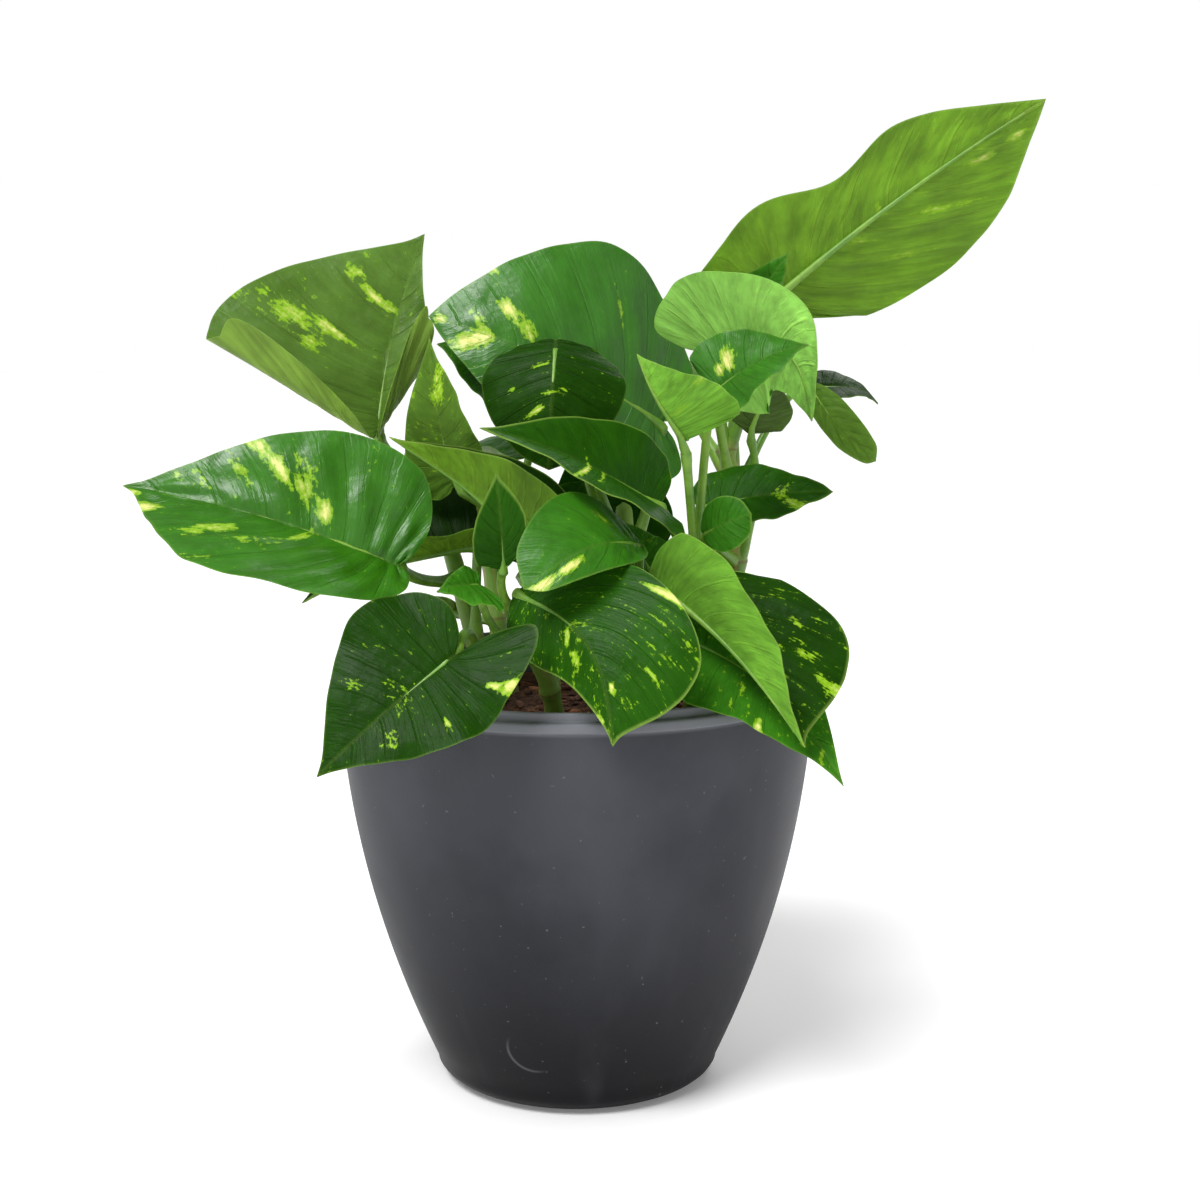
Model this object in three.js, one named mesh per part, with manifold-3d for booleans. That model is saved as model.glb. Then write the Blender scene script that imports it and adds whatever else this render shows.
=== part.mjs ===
// A potted trailing plant: a round tapered pot, the soil in it, six vines that come up
// through the soil, and heart-shaped leaves on long stalks.
// Millimetres, +Z up. The origin is the middle of the pot's underside; the front is -Y.
import * as THREE from 'three';
import { mergeVertices } from 'three/addons/utils/BufferGeometryUtils.js';
import Module from 'manifold-3d';

const wasm = await Module();
wasm.setup();

// ---- driving dimensions ----
const RIM_RADIUS = 76;          // outside of the pot at the top of its wall
const FOOT_RADIUS = 35;         // flat underside
const HEEL_RADIUS = 46;         // where the rounded bottom corner meets the wall
const HEEL_HEIGHT = 7;
const BELLY_RADIUS = 73.5;      // control point of the wall's curve
const BELLY_HEIGHT = 66.7;
const WALL_TOP = 127.5;
const BEAD_PROUD = 0.6;         // the rim's bead stands out this far
const BEAD_HEIGHT = 3.5;
const COLLAR_INSET = 2.0;       // the lip above the bead is set back this far
const COLLAR_HEIGHT = 2.6;
const WALL_THICKNESS = 2.6;
const FLOOR_THICKNESS = 3;
const DRAIN_HOLES = 6;
const DRAIN_RADIUS = 4.5;
const DRAIN_CIRCLE = 24;
const POT_SEGMENTS = 40;

const SOIL_EDGE_HEIGHT = 118;
const SOIL_CROWN_HEIGHT = 121;
const GAP = 0.3;                // clearance between pieces that touch

const VINE_RADIUS = 3;
const VINE_SIDES = 6;
const VINE_STEPS = 6;
const STALK_RADIUS = 1.9;
const STALK_SIDES = 5;
const STALK_STEPS = 6;
const STALK_RUN = 0.07;         // how far the stalk runs on under the blade, in leaf lengths
const KNEE_PULL = 0.66;         // how near its knee a stalk's curve passes, 0 to 1
const LEAF_THICKNESS = 0.8;
const BLADE_ROWS = 8;           // steps from the notch round to the tip
const BLADE_COLUMNS = 2;        // steps from the midrib out to the margin
const LOBE_BEND_RADIUS = 5;     // how tightly a raised basal lobe bends
const HALF_WIDTH = 0.49;        // widest half, in leaf widths
const LOBE_REACH = 0.15;        // a plain basal lobe's length, in leaf lengths
const HANDLE_REACH = 0.37;      // how far each end of a midrib runs straight on, in leaf lengths
const HANDLE_GAIN = 0.25;       // how much further where the midrib arches
const ROOT_CROWDING = 2.3;      // above 1 gathers the roots of the side veins near the stalk
const VEIN_SWEEP = 1.4;         // above 1 bends the side veins towards the tip
const WAIST_PLACE = 0.4;        // where a half draws in, in leaf lengths from the stalk
const WAIST_SPREAD = 0.16;      // over how much of the leaf's length it does

// ---- colours ----
const POT_LOOK = { color: 0x3c3d45, roughness: 0.55, metalness: 0 };
const SOIL_LOOK = { color: 0x4a2f22, roughness: 0.95, metalness: 0 };
const VINE_LOOK = { color: 0x7d9a45, roughness: 0.5, metalness: 0 };
const LEAF_LOOK = { color: 0x2f7d1e, roughness: 0.35, metalness: 0 };

// Half of a heart-shaped leaf from the notch to the tip:
// [distance along the midrib in leaf lengths, distance out in leaf widths]
const HEART = [
  [0, 0], [-0.09, 0.07], [-LOBE_REACH, 0.22], [-0.08, 0.38], [0.09, 0.485], [0.28, HALF_WIDTH],
  [0.48, 0.39], [0.66, 0.26], [0.82, 0.125], [0.92, 0.045], [1, 0],
];

// Each vine's path, from inside the soil to its last node.
const VINES = {
  vine_left: [[-26, -12, 108], [-30, -14, 135], [-36, -10, 160], [-42, -4, 180]],
  vine_back_left: [[-20, 20, 108], [-26, 24, 140], [-30, 30, 170], [-36, 34, 200]],
  vine_front: [[-4, -30, 108], [-8, -40, 135], [-15, -48, 152], [-19, -52, 162]],
  vine_center: [[12, 6, 108], [14, 4, 140], [16, 3, 166], [15, 5, 186]],
  vine_right: [[34, -20, 108], [38, -22, 135], [40, -20, 158], [37, -16, 175]],
  vine_right_back: [[42, 16, 108], [50, 16, 140], [52, 14, 170], [48, 16, 205]],
};

// What a leaf has unless its own row says otherwise. Pairs are [left half, right half],
// looking from the stalk to the tip with the upper side up. Angles are in degrees.
const PLAIN_LEAF = {
  rise: 12,          // the midrib leaves the stalk this far above the straight line to the tip
  droop: 18,         // and reaches the tip this far below it
  sway: 0,           // sideways bow of the midrib, percent of the length
  fold: [18, 18],    // how far each half is raised from flat, at the stalk
  end: null,         // the same at the tip, where it differs
  asym: [1, 1],      // width of each half against the plain heart
  shift: [0, 0],     // widest place moved towards the tip, in leaf lengths
  waist: [0, 0],     // how much of its width each half loses at its waist
  lobe: [1, 1],      // length of each basal lobe against the plain heart
  square: 1,         // 1 for pointed basal lobes, less for broader ones
  slant: [0, 0],     // how far the crease of each raised lobe runs towards the tip
  lift: 10,          // how far the basal lobes are raised
  blunt: 0,          // 0 is a heart, 1 an ellipse
};

// base is where the stalk meets the blade, knee where the stalk bends, along where it
// leaves its vine (0 at the bottom, 1 at the top), face the way the upper side looks.
const LEAVES = [
  {
    name: 'leaf_left_big', vine: 'vine_left', along: 0.75,
    knee: [-49, -30, 164], base: [-52, -50, 173], tip: [-133, -45, 196], face: [-0.05, -0.8, 0.6],
    width: 66, fold: [32, 14], rise: 14, droop: 12, shift: [0.28, 0.04], lobe: [1, 0.5],
  },
  {
    name: 'leaf_funnel', vine: 'vine_back_left', along: 0.8,
    knee: [-62, 18, 195], base: [-63, 2, 209], tip: [-49, 22, 271], face: [0.05, -0.88, 0.45],
    width: 104, fold: [18, 30], end: [0, 10], asym: [1.09, 0.3], shift: [0.14, 0], lobe: [1.35, 1],
    square: 0.35, slant: [0.34, 0.42], lift: 140, rise: -10, droop: -10, sway: -6,
  },
  {
    name: 'leaf_crown', vine: 'vine_center', along: 0.75,
    knee: [29, 19, 198], base: [27, 13, 211], tip: [-46, -2, 245], face: [0.1, -0.9, 0.3],
    width: 82, rise: 22, droop: 27, fold: [0, 0], asym: [0.75, 1.1], shift: [0, 0.18], blunt: 0.2,
  },
  {
    name: 'leaf_arched', vine: 'vine_center', along: 0.8,
    knee: [2, -20, 202], base: [-6, -15, 238], tip: [-8, -27, 199], face: [0, -0.9, 0.4],
    width: 49, rise: 26, droop: 20, fold: [-14, -14], lobe: [0.1, 0.1], blunt: 0.6,
  },
  {
    name: 'leaf_upright', vine: 'vine_center', along: 0.52,
    knee: [-18, -26, 182], base: [-37, -24, 194], tip: [-44, -24, 239], face: [-0.3, -0.9, 0.1],
    width: 25, fold: [15, 15], lobe: [0.5, 0.5],
  },
  {
    name: 'leaf_under_crown', vine: 'vine_back_left', along: 0.6,
    knee: [-10, 18, 208], base: [-13, 16, 222], tip: [-45, 15, 236], face: [0, -0.7, 0.7],
    width: 44, fold: [10, 10],
  },
  {
    name: 'leaf_centre', vine: 'vine_right', along: 0.85,
    knee: [30, -24, 181], base: [25, -31, 189], tip: [-27, -61, 214], face: [0.1, -0.66, 0.74],
    width: 44, rise: 8, droop: 12, fold: [25, 24], lobe: [0.3, 0.3], asym: [1, 0.86],
  },
  {
    name: 'leaf_round_young', vine: 'vine_right', along: 0.78,
    knee: [44, -32, 174], base: [38, -42, 181], tip: [52, -48, 188], face: [0, -0.9, 0.4],
    width: 17, rise: 20, droop: 20, fold: [0, 0], lobe: [0, 0], blunt: 1,
  },
  {
    name: 'leaf_folded_left', vine: 'vine_front', along: 0.45,
    knee: [-5, -34, 152], base: [-10, -39, 163], tip: [-55, -40, 210], face: [0.6, -0.3, 0.65],
    width: 48, rise: 25, droop: 15, fold: [78, 40],
  },
  {
    name: 'leaf_inner_left', vine: 'vine_left', along: 0.5,
    knee: [-31, -18, 166], base: [-30, -22, 176], tip: [-84, -26, 158], face: [0, -0.75, 0.65],
    width: 52, rise: 10, droop: 20, fold: [80, 10], asym: [0.55, 1], lobe: [0.3, 0.3],
  },
  {
    name: 'leaf_spear_front', vine: 'vine_front', along: 0.97,
    knee: [-22.6, -63.5, 168], base: [-20, -66, 174], tip: [-22, -67, 202], face: [0.1, -0.95, 0.2],
    width: 16, fold: [15, 15], lobe: [0, 0], asym: [1.1, 0.93], shift: [0.1, 0.25],
  },
  {
    name: 'leaf_curled_front', vine: 'vine_center', along: 0.45,
    knee: [20, -38, 164], base: [19, -48, 179], tip: [-14, -78, 170], face: [0.1, -0.8, 0.6],
    width: 40, rise: 30, droop: 38, fold: [-5, 5], asym: [0.47, 1], blunt: 0.8, lobe: [0.2, 0.2],
  },
  {
    name: 'leaf_rim_front', vine: 'vine_front', along: 0.9,
    knee: [-12.5, -54, 164], base: [-17, -60, 166], tip: [11, -92, 128], face: [-0.2, -0.85, 0.5],
    width: 62, rise: 15, droop: 15, fold: [0, -15], sway: -22, shift: [0.42, 0.1], lobe: [0.4, 0.2],
    asym: [0.93, 0.5],
  },
  {
    name: 'leaf_rim_left', vine: 'vine_left', along: 0.3,
    knee: [-30, -54, 164], base: [-33, -82, 152], tip: [-70, -99, 121], face: [-0.1, -0.85, 0.5],
    width: 55, rise: 8, droop: 10, fold: [5, 5], lobe: [2.8, 1.1], asym: [0.85, 1.03],
  },
  {
    name: 'leaf_rim_right_folded', vine: 'vine_center', along: 0.2,
    knee: [18, -36, 158], base: [22, -50, 170], tip: [65, -84, 126], face: [0.64, -0.25, 0.7],
    width: 60, rise: 10, droop: 10, fold: [50, 50], shift: [0.42, 0.15], lobe: [0.2, 0.2],
  },
  {
    name: 'leaf_rim_right_low', vine: 'vine_right', along: 0.25,
    knee: [36, -33, 142], base: [34, -46, 150], tip: [77, -77, 113], face: [0.1, -0.8, 0.6],
    width: 44, rise: 10, droop: 10, fold: [15, 15], sway: -10, asym: [0.7, 1],
  },
  {
    name: 'leaf_right_mid', vine: 'vine_right_back', along: 0.6,
    knee: [39, -5, 175], base: [39, -8, 186], tip: [80, -12, 191], face: [0, -0.68, 0.73],
    width: 27, rise: 8, droop: 8, fold: [10, 10], lobe: [0.5, 0.5], blunt: 0.3,
  },
  {
    name: 'leaf_top_right', vine: 'vine_right_back', along: 0.9,
    knee: [52, 28, 228], base: [58, 28, 245], tip: [151, 28, 314], face: [0.35, 0.65, 0.5],
    width: 56, rise: 0, droop: 0, sway: 3, fold: [6, 6], asym: [1.14, 1.1], shift: [0.3, 0.08],
    waist: [0, 0.4], lobe: [0.1, 1.7], blunt: 0.1,
  },
  {
    name: 'leaf_cap', vine: 'vine_right_back', along: 0.85,
    knee: [44, 2, 216], base: [41, -10, 234], tip: [71, -32, 214], face: [0.1, 0.85, 0.5],
    width: 50, rise: 25, droop: 30, sway: 37, fold: [0, 0], shift: [0, -0.1], lobe: [1, 1.5],
    asym: [1, 1.06], blunt: 0.1,
  },
  {
    name: 'leaf_crescent', vine: 'vine_right', along: 0.97,
    knee: [39, -36, 215], base: [41, -39, 223], tip: [69, -39, 237], face: [-0.1, -0.7, 0.7],
    width: 30, fold: [20, 20], rise: 20, droop: 20, lobe: [0.2, 0.2],
  },
  {
    name: 'leaf_hanging_right', vine: 'vine_right_back', along: 0.97,
    knee: [60, 13, 234], base: [74, 2, 223], tip: [94, -6, 200], face: [0.4, -0.8, 0.3],
    width: 13.5, fold: [35, 15], rise: 14, droop: 14, sway: 16, lobe: [0.3, 0.3], blunt: 0.95,
  },
  {
    name: 'leaf_small_right', vine: 'vine_right_back', along: 0.8,
    knee: [68, 36, 224], base: [77, 24, 222], tip: [99, 28, 216], face: [0, -0.4, 0.9],
    width: 20, fold: [8, 8], rise: 14, droop: 34, lobe: [0.3, 0.3],
  },
  {
    name: 'leaf_inner_right', vine: 'vine_right_back', along: 0.6,
    knee: [61, 8, 190], base: [55, 6, 208], tip: [63, 4, 226], face: [-0.1, 0.85, 0.5],
    width: 24, fold: [6, 10], lobe: [0, 0], asym: [1, 0.9], shift: [0.25, 0.15], rise: 6, droop: 10,
  },
  {
    name: 'leaf_stalk_folded', vine: 'vine_right', along: 0.5,
    knee: [35.5, -48, 178], base: [32, -54, 210], tip: [18, -62, 235], face: [0.3, 0.8, 0.4],
    width: 44, fold: [0, 75], rise: -10, droop: -20, shift: [0.08, 0], lobe: [0, 1],
  },
  {
    name: 'leaf_small_front', vine: 'vine_front', along: 0.68,
    knee: [-28, -54, 154], base: [-27, -62, 169], tip: [-39, -70, 168], face: [0, -0.7, 0.7],
    width: 24, lobe: [0.3, 0.3], asym: [1.2, 0.5],
  },
  {
    name: 'leaf_inner_patched', vine: 'vine_right', along: 0.5,
    knee: [29, -18, 160], base: [23, -18, 167], tip: [14, -28, 184], face: [0, -0.9, 0.4],
    width: 18, lobe: [0.2, 0.2],
  },
  {
    name: 'leaf_behind_cap', vine: 'vine_right_back', along: 0.97,
    knee: [44, 15, 228], base: [55, 8, 248], tip: [67, 4, 265], face: [0, -0.9, 0.3],
    width: 14,
  },
  {
    name: 'leaf_inner_centre', vine: 'vine_center', along: 0.4,
    knee: [-2, 9, 156], base: [-7, 7, 164], tip: [2, 4, 193], face: [0, -0.8, 0.5],
    width: 38, lobe: [0.3, 0.3], blunt: 0.3, asym: [1.1, 0.6],
  },
  {
    name: 'leaf_behind_centre', vine: 'vine_center', along: 0.3,
    knee: [16, 22, 157], base: [14, 28, 165], tip: [3, 30, 206], face: [0, -0.95, 0.3],
    width: 44, fold: [8, 8], rise: 8, droop: 10, lobe: [0.6, 0.6], blunt: 0.3,
  },
  {
    name: 'leaf_back_high', vine: 'vine_center', along: 0.6,
    knee: [-2, 24, 212], base: [-4, 34, 222], tip: [-14, 104, 196], face: [0, 0.3, 0.95],
    width: 60, rise: 15, droop: 25,
  },
  {
    name: 'leaf_back_high_right', vine: 'vine_right_back', along: 0.9,
    knee: [32, 28, 222], base: [28, 36, 228], tip: [38, 92, 214], face: [0.2, 0.1, 0.95],
    width: 36, rise: 15, droop: 25,
  },
  {
    name: 'leaf_back_left', vine: 'vine_back_left', along: 0.7,
    knee: [-18, 42, 186], base: [-25, 48, 196], tip: [-66, 92, 186], face: [0, 0.1, 1],
    width: 38, rise: 15, droop: 25,
  },
  {
    name: 'leaf_back_low', vine: 'vine_back_left', along: 0.3,
    knee: [-4, 46, 150], base: [0, 60, 152], tip: [10, 108, 108], face: [0, 0.7, 0.7],
    width: 50, rise: 15, droop: 20,
  },
  {
    name: 'leaf_back_low_right', vine: 'vine_right_back', along: 0.2,
    knee: [46, 36, 140], base: [48, 50, 144], tip: [80, 84, 116], face: [0.3, 0.5, 0.8],
    width: 38, rise: 15, droop: 20,
  },
  {
    name: 'leaf_back_low_left', vine: 'vine_back_left', along: 0.4,
    knee: [-36, 38, 142], base: [-42, 46, 144], tip: [-76, 82, 118], face: [-0.3, 0.5, 0.8],
    width: 40, rise: 15, droop: 20,
  },
];

// ---- small helpers ----
const vec = (p) => new THREE.Vector3(p[0], p[1], p[2]);
const radians = (degrees) => THREE.MathUtils.degToRad(degrees);
const mix = (a, b, t) => a + (b - a) * t;

function toSolid(geometry) {
  const plain = geometry.index ? geometry.toNonIndexed() : geometry;
  plain.deleteAttribute('normal');
  plain.deleteAttribute('uv');
  const merged = mergeVertices(plain, 1e-4);
  return new wasm.Manifold(new wasm.Mesh({
    numProp: 3,
    vertProperties: new Float32Array(merged.attributes.position.array),
    triVerts: new Uint32Array(merged.index.array),
  }));
}

function toGeometry(solid) {
  const mesh = solid.getMesh();
  const geometry = new THREE.BufferGeometry();
  geometry.setAttribute('position', new THREE.BufferAttribute(new Float32Array(mesh.vertProperties), 3));
  geometry.setIndex(new THREE.BufferAttribute(new Uint32Array(mesh.triVerts), 1));
  geometry.computeVertexNormals();
  return geometry;
}

// The biggest connected body, without the specks that a tight fold can leave.
function wholePiece(solid) {
  const bodies = solid.decompose();
  return bodies.reduce((best, body) => (body.volume() > best.volume() ? body : best));
}

function namedMesh(name, geometry, look) {
  const mesh = new THREE.Mesh(geometry, new THREE.MeshStandardMaterial(look));
  mesh.name = name;
  return mesh;
}

// A round rod of constant thickness along a curve.
function rod(curve, radius, sides, steps) {
  const section = new THREE.Shape();
  for (let i = 0; i < sides; i += 1) {
    const angle = (i / sides) * 2 * Math.PI;
    const point = [radius * Math.cos(angle), radius * Math.sin(angle)];
    if (i === 0) section.moveTo(...point);
    else section.lineTo(...point);
  }
  section.closePath();
  return new THREE.ExtrudeGeometry(section, { steps, extrudePath: curve, bevelEnabled: false });
}

// ---- pot ----
function wallPoint(t) {
  const r = (1 - t) ** 2 * HEEL_RADIUS + 2 * t * (1 - t) * BELLY_RADIUS + t * t * RIM_RADIUS;
  const z = (1 - t) ** 2 * HEEL_HEIGHT + 2 * t * (1 - t) * BELLY_HEIGHT + t * t * WALL_TOP;
  return [r, z];
}

function heelPoint(t) {
  const angle = t * Math.PI * 0.5;
  const r = FOOT_RADIUS + (HEEL_RADIUS - FOOT_RADIUS) * Math.sin(angle);
  const z = HEEL_HEIGHT * (1 - Math.cos(angle));
  return [r, z];
}

function latheSolid(profile) {
  const points = profile.map(([r, z]) => new THREE.Vector2(r, z));
  const geometry = new THREE.LatheGeometry(points, POT_SEGMENTS);
  geometry.rotateX(Math.PI / 2);
  return toSolid(geometry);
}

function potGeometry() {
  const beadTop = WALL_TOP + BEAD_HEIGHT;
  const lipTop = beadTop + COLLAR_HEIGHT;
  const lipOuter = RIM_RADIUS - COLLAR_INSET;
  const lipInner = RIM_RADIUS - WALL_THICKNESS - COLLAR_INSET * 0.5;
  const outer = [0, 0.34, 0.67, 1].map(heelPoint);
  outer.push(...[0.12, 0.25, 0.38, 0.52, 0.66, 0.83, 1].map(wallPoint));
  const rim = [
    [RIM_RADIUS + BEAD_PROUD, WALL_TOP + BEAD_PROUD],
    [RIM_RADIUS + BEAD_PROUD, beadTop - 1],
    [RIM_RADIUS - BEAD_PROUD, beadTop],
    [lipOuter, beadTop],
    [lipOuter, lipTop - 0.5],
    [lipOuter - 0.5, lipTop],
    [lipInner + 0.4, lipTop],
    [lipInner, lipTop - 0.5],
  ];
  const inner = [1, 0.75, 0.5, 0.25, 0.06].map((t) => {
    const [r, z] = wallPoint(t);
    return [r - WALL_THICKNESS, z];
  });
  inner.push([FOOT_RADIUS + 2, FLOOR_THICKNESS]);
  const profile = [[0, 0], ...outer, ...rim, ...inner, [0, FLOOR_THICKNESS]];
  let pot = latheSolid(profile);
  for (let i = 0; i < DRAIN_HOLES; i += 1) {
    const angle = (i / DRAIN_HOLES) * 2 * Math.PI;
    const hole = new THREE.CylinderGeometry(DRAIN_RADIUS, DRAIN_RADIUS, FLOOR_THICKNESS * 4, 16);
    hole.rotateX(Math.PI / 2);
    hole.translate(DRAIN_CIRCLE * Math.cos(angle), DRAIN_CIRCLE * Math.sin(angle), 0);
    pot = pot.subtract(toSolid(hole));
  }
  return toGeometry(pot);
}

// ---- vines and soil ----
function vineCurve(name) {
  return new THREE.CatmullRomCurve3(VINES[name].map(vec), false, 'catmullrom', 0.5);
}

function vineGeometry(name) {
  return toGeometry(toSolid(rod(vineCurve(name), VINE_RADIUS, VINE_SIDES, VINE_STEPS)));
}

function soilGeometry() {
  const side = [0.06, 0.25, 0.5, 0.75].map((t) => {
    const [r, z] = wallPoint(t);
    return [r - WALL_THICKNESS - GAP, z];
  });
  const [bandRadius] = wallPoint(0.9);
  const profile = [
    [0, FLOOR_THICKNESS + GAP],
    [FOOT_RADIUS + 1.5, FLOOR_THICKNESS + GAP],
    ...side,
    [bandRadius - WALL_THICKNESS - GAP - 0.4, SOIL_EDGE_HEIGHT],
    [40, mix(SOIL_EDGE_HEIGHT, SOIL_CROWN_HEIGHT, 0.7)],
    [0, SOIL_CROWN_HEIGHT],
  ];
  let soil = latheSolid(profile);
  for (const name of Object.keys(VINES)) {
    const points = VINES[name].map(vec);
    const below = points[0].clone().sub(points[1]).setLength(2 * GAP).add(points[0]);
    const path = new THREE.CatmullRomCurve3([below, ...points.slice(0, 2)], false, 'catmullrom', 0.5);
    soil = soil.subtract(toSolid(rod(path, VINE_RADIUS + 3 * GAP, VINE_SIDES, VINE_STEPS)));
  }
  return toGeometry(soil);
}

// ---- leaves ----
// The midrib as a row of stations, each with its place, its direction, the way to the
// leaf's right and the way its upper side looks.
function midrib(leaf) {
  const base = vec(leaf.base);
  const tip = vec(leaf.tip);
  const chord = tip.clone().sub(base);
  const reach = chord.length();
  const ahead = chord.clone().normalize();
  const face = vec(leaf.face);
  const up = face.addScaledVector(ahead, -face.dot(ahead)).normalize();
  const right = ahead.clone().cross(up);
  const rise = radians(leaf.rise);
  const droop = radians(leaf.droop);
  const handle = reach * HANDLE_REACH * (1 + HANDLE_GAIN * (Math.abs(rise) + Math.abs(droop)));
  const bow = right.clone().multiplyScalar((leaf.sway * reach) / 100);
  const leaving = ahead.clone().multiplyScalar(Math.cos(rise)).addScaledVector(up, Math.sin(rise));
  const arriving = ahead.clone().multiplyScalar(Math.cos(droop)).addScaledVector(up, -Math.sin(droop));
  const curve = new THREE.CubicBezierCurve3(
    base,
    base.clone().addScaledVector(leaving, handle).add(bow),
    tip.clone().addScaledVector(arriving, -handle).add(bow),
    tip,
  );
  const station = (x) => {
    const along = curve.getTangentAt(x);
    const out = right.clone().addScaledVector(along, -right.dot(along)).normalize();
    return { place: curve.getPointAt(x), along, out, up: out.clone().cross(along) };
  };
  return { station, length: curve.getLength() };
}

function outline(leaf) {
  const points = HEART.map(([x, y]) => {
    const inside = THREE.MathUtils.clamp(x, 0, 1);
    const oval = HALF_WIDTH * Math.sqrt(1 - (2 * inside - 1) ** 2);
    return new THREE.Vector3(x, mix(y, oval, leaf.blunt), 0);
  });
  return new THREE.CatmullRomCurve3(points, false, 'catmullrom', 0.5).getSpacedPoints(BLADE_ROWS);
}

// One point of the blade's middle surface. row runs from the notch to the tip round the
// margin, out from 0 at the midrib to 1 at the margin, side is 0 left or 1 right.
function bladePoint(leaf, rib, margin, row, out, side) {
  const sign = side === 0 ? -1 : 1;
  const rootX = (row / BLADE_ROWS) ** ROOT_CROWDING;
  const behindNotch = Math.max(-margin[row].x, 0) / LOBE_REACH;
  const lobe = LOBE_REACH * leaf.lobe[side] * behindNotch ** leaf.square;
  const edgeX = Math.max(margin[row].x, 0) - lobe + (leaf.shift[side] * margin[row].y) / HALF_WIDTH;
  const x = mix(rootX, edgeX, out ** VEIN_SWEEP);
  const waist = leaf.waist[side] * Math.exp(-(((edgeX - WAIST_PLACE) / WAIST_SPREAD) ** 2));
  const y = margin[row].y * leaf.width * leaf.asym[side] * (1 - waist) * out;
  const crease = (leaf.slant[side] * margin[row].y * out) / HALF_WIDTH;
  const inside = THREE.MathUtils.clamp(Math.max(x, crease), 0, 1);
  const s = rib.station(inside);
  const back = Math.max(crease - x, 0) * rib.length;
  const lift = radians(leaf.lift);
  const bent = Math.min(back / LOBE_BEND_RADIUS, lift);
  const straight = Math.max(back - LOBE_BEND_RADIUS * lift, 0);
  const behind = LOBE_BEND_RADIUS * Math.sin(bent) + straight * Math.cos(lift);
  const raised = LOBE_BEND_RADIUS * (1 - Math.cos(bent)) + straight * Math.sin(lift);
  const end = leaf.end ?? leaf.fold;
  const fold = radians(mix(leaf.fold[side], end[side], inside));
  return s.place.clone()
    .addScaledVector(s.along, -behind)
    .addScaledVector(s.up, raised + y * Math.sin(fold))
    .addScaledVector(s.out, sign * y * Math.cos(fold));
}

function bladeGrid(leaf, rib) {
  const margin = outline(leaf);
  const grid = [];
  for (let row = 0; row <= BLADE_ROWS; row += 1) {
    const line = [];
    for (let column = -BLADE_COLUMNS; column <= BLADE_COLUMNS; column += 1) {
      const side = column < 0 ? 0 : 1;
      line.push(bladePoint(leaf, rib, margin, row, Math.abs(column) / BLADE_COLUMNS, side));
    }
    grid.push(line);
  }
  return grid;
}

// The way the surface looks at one grid point, from its neighbours.
function gridNormal(grid, row, column) {
  const lastRow = grid.length - 1;
  const lastColumn = grid[0].length - 1;
  const pole = row === 0 || row === lastRow;
  const r = THREE.MathUtils.clamp(row, 1, lastRow - 1);
  const c = pole ? BLADE_COLUMNS : column;
  const across = grid[r][Math.min(c + 1, lastColumn)].clone().sub(grid[r][Math.max(c - 1, 0)]);
  const along = grid[Math.min(r + 1, lastRow)][c].clone().sub(grid[Math.max(r - 1, 0)][c]);
  return across.cross(along).normalize();
}

function bladeSolid(leaf, rib) {
  const grid = bladeGrid(leaf, rib);
  const rows = grid.length;
  const columns = grid[0].length;
  const skin = (half) => grid.map((line, row) => line.map(
    (point, column) => point.clone().addScaledVector(gridNormal(grid, row, column), half),
  ));
  const top = skin(LEAF_THICKNESS / 2);
  const under = skin(-LEAF_THICKNESS / 2);
  const positions = [];
  const triangle = (a, b, c) => positions.push(...a.toArray(), ...b.toArray(), ...c.toArray());
  for (let r = 0; r < rows - 1; r += 1) {
    for (let c = 0; c < columns - 1; c += 1) {
      if (r < rows - 2) {
        triangle(top[r][c], top[r + 1][c + 1], top[r + 1][c]);
        triangle(under[r][c], under[r + 1][c], under[r + 1][c + 1]);
      }
      if (r > 0) {
        triangle(top[r][c], top[r][c + 1], top[r + 1][c + 1]);
        triangle(under[r][c], under[r + 1][c + 1], under[r][c + 1]);
      }
    }
    const last = columns - 1;
    triangle(top[r][0], top[r + 1][0], under[r + 1][0]);
    triangle(top[r][0], under[r + 1][0], under[r][0]);
    triangle(top[r][last], under[r + 1][last], top[r + 1][last]);
    triangle(top[r][last], under[r][last], under[r + 1][last]);
  }
  const geometry = new THREE.BufferGeometry();
  geometry.setAttribute('position', new THREE.Float32BufferAttribute(positions, 3));
  return toSolid(geometry);
}

// The stalk starts just clear of its vine, bends at its knee, and runs on under the blade,
// unless the blade hangs back beside it, where a run would double the stalk back on itself.
function stalkCurve(leaf, rib) {
  const vine = vineCurve(leaf.vine);
  const root = vine.getPointAt(leaf.along);
  const grain = vine.getTangentAt(leaf.along);
  const knee = vec(leaf.knee);
  const base = vec(leaf.base);
  const lead = knee.clone().sub(root);
  const sideways = lead.clone().addScaledVector(grain, -lead.dot(grain)).normalize();
  const slant = Math.abs(lead.clone().normalize().dot(grain));
  const start = root.addScaledVector(sideways, VINE_RADIUS + 3 * GAP + STALK_RADIUS * slant);
  const points = new THREE.CubicBezierCurve3(
    start,
    start.clone().lerp(knee, KNEE_PULL),
    base.clone().lerp(knee, KNEE_PULL),
    base,
  ).getSpacedPoints(4);
  const run = rib.station(STALK_RUN);
  const arriving = base.clone().sub(knee);
  if (arriving.dot(run.along) > 0) points.push(run.place.addScaledVector(run.up, -STALK_RADIUS * 0.7));
  return new THREE.CatmullRomCurve3(points, false, 'centripetal');
}

function leafGeometry(row) {
  const leaf = { ...PLAIN_LEAF, ...row };
  const rib = midrib(leaf);
  const stalk = rod(stalkCurve(leaf, rib), STALK_RADIUS, STALK_SIDES, STALK_STEPS);
  return toGeometry(wholePiece(bladeSolid(leaf, rib).add(toSolid(stalk))));
}

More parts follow.
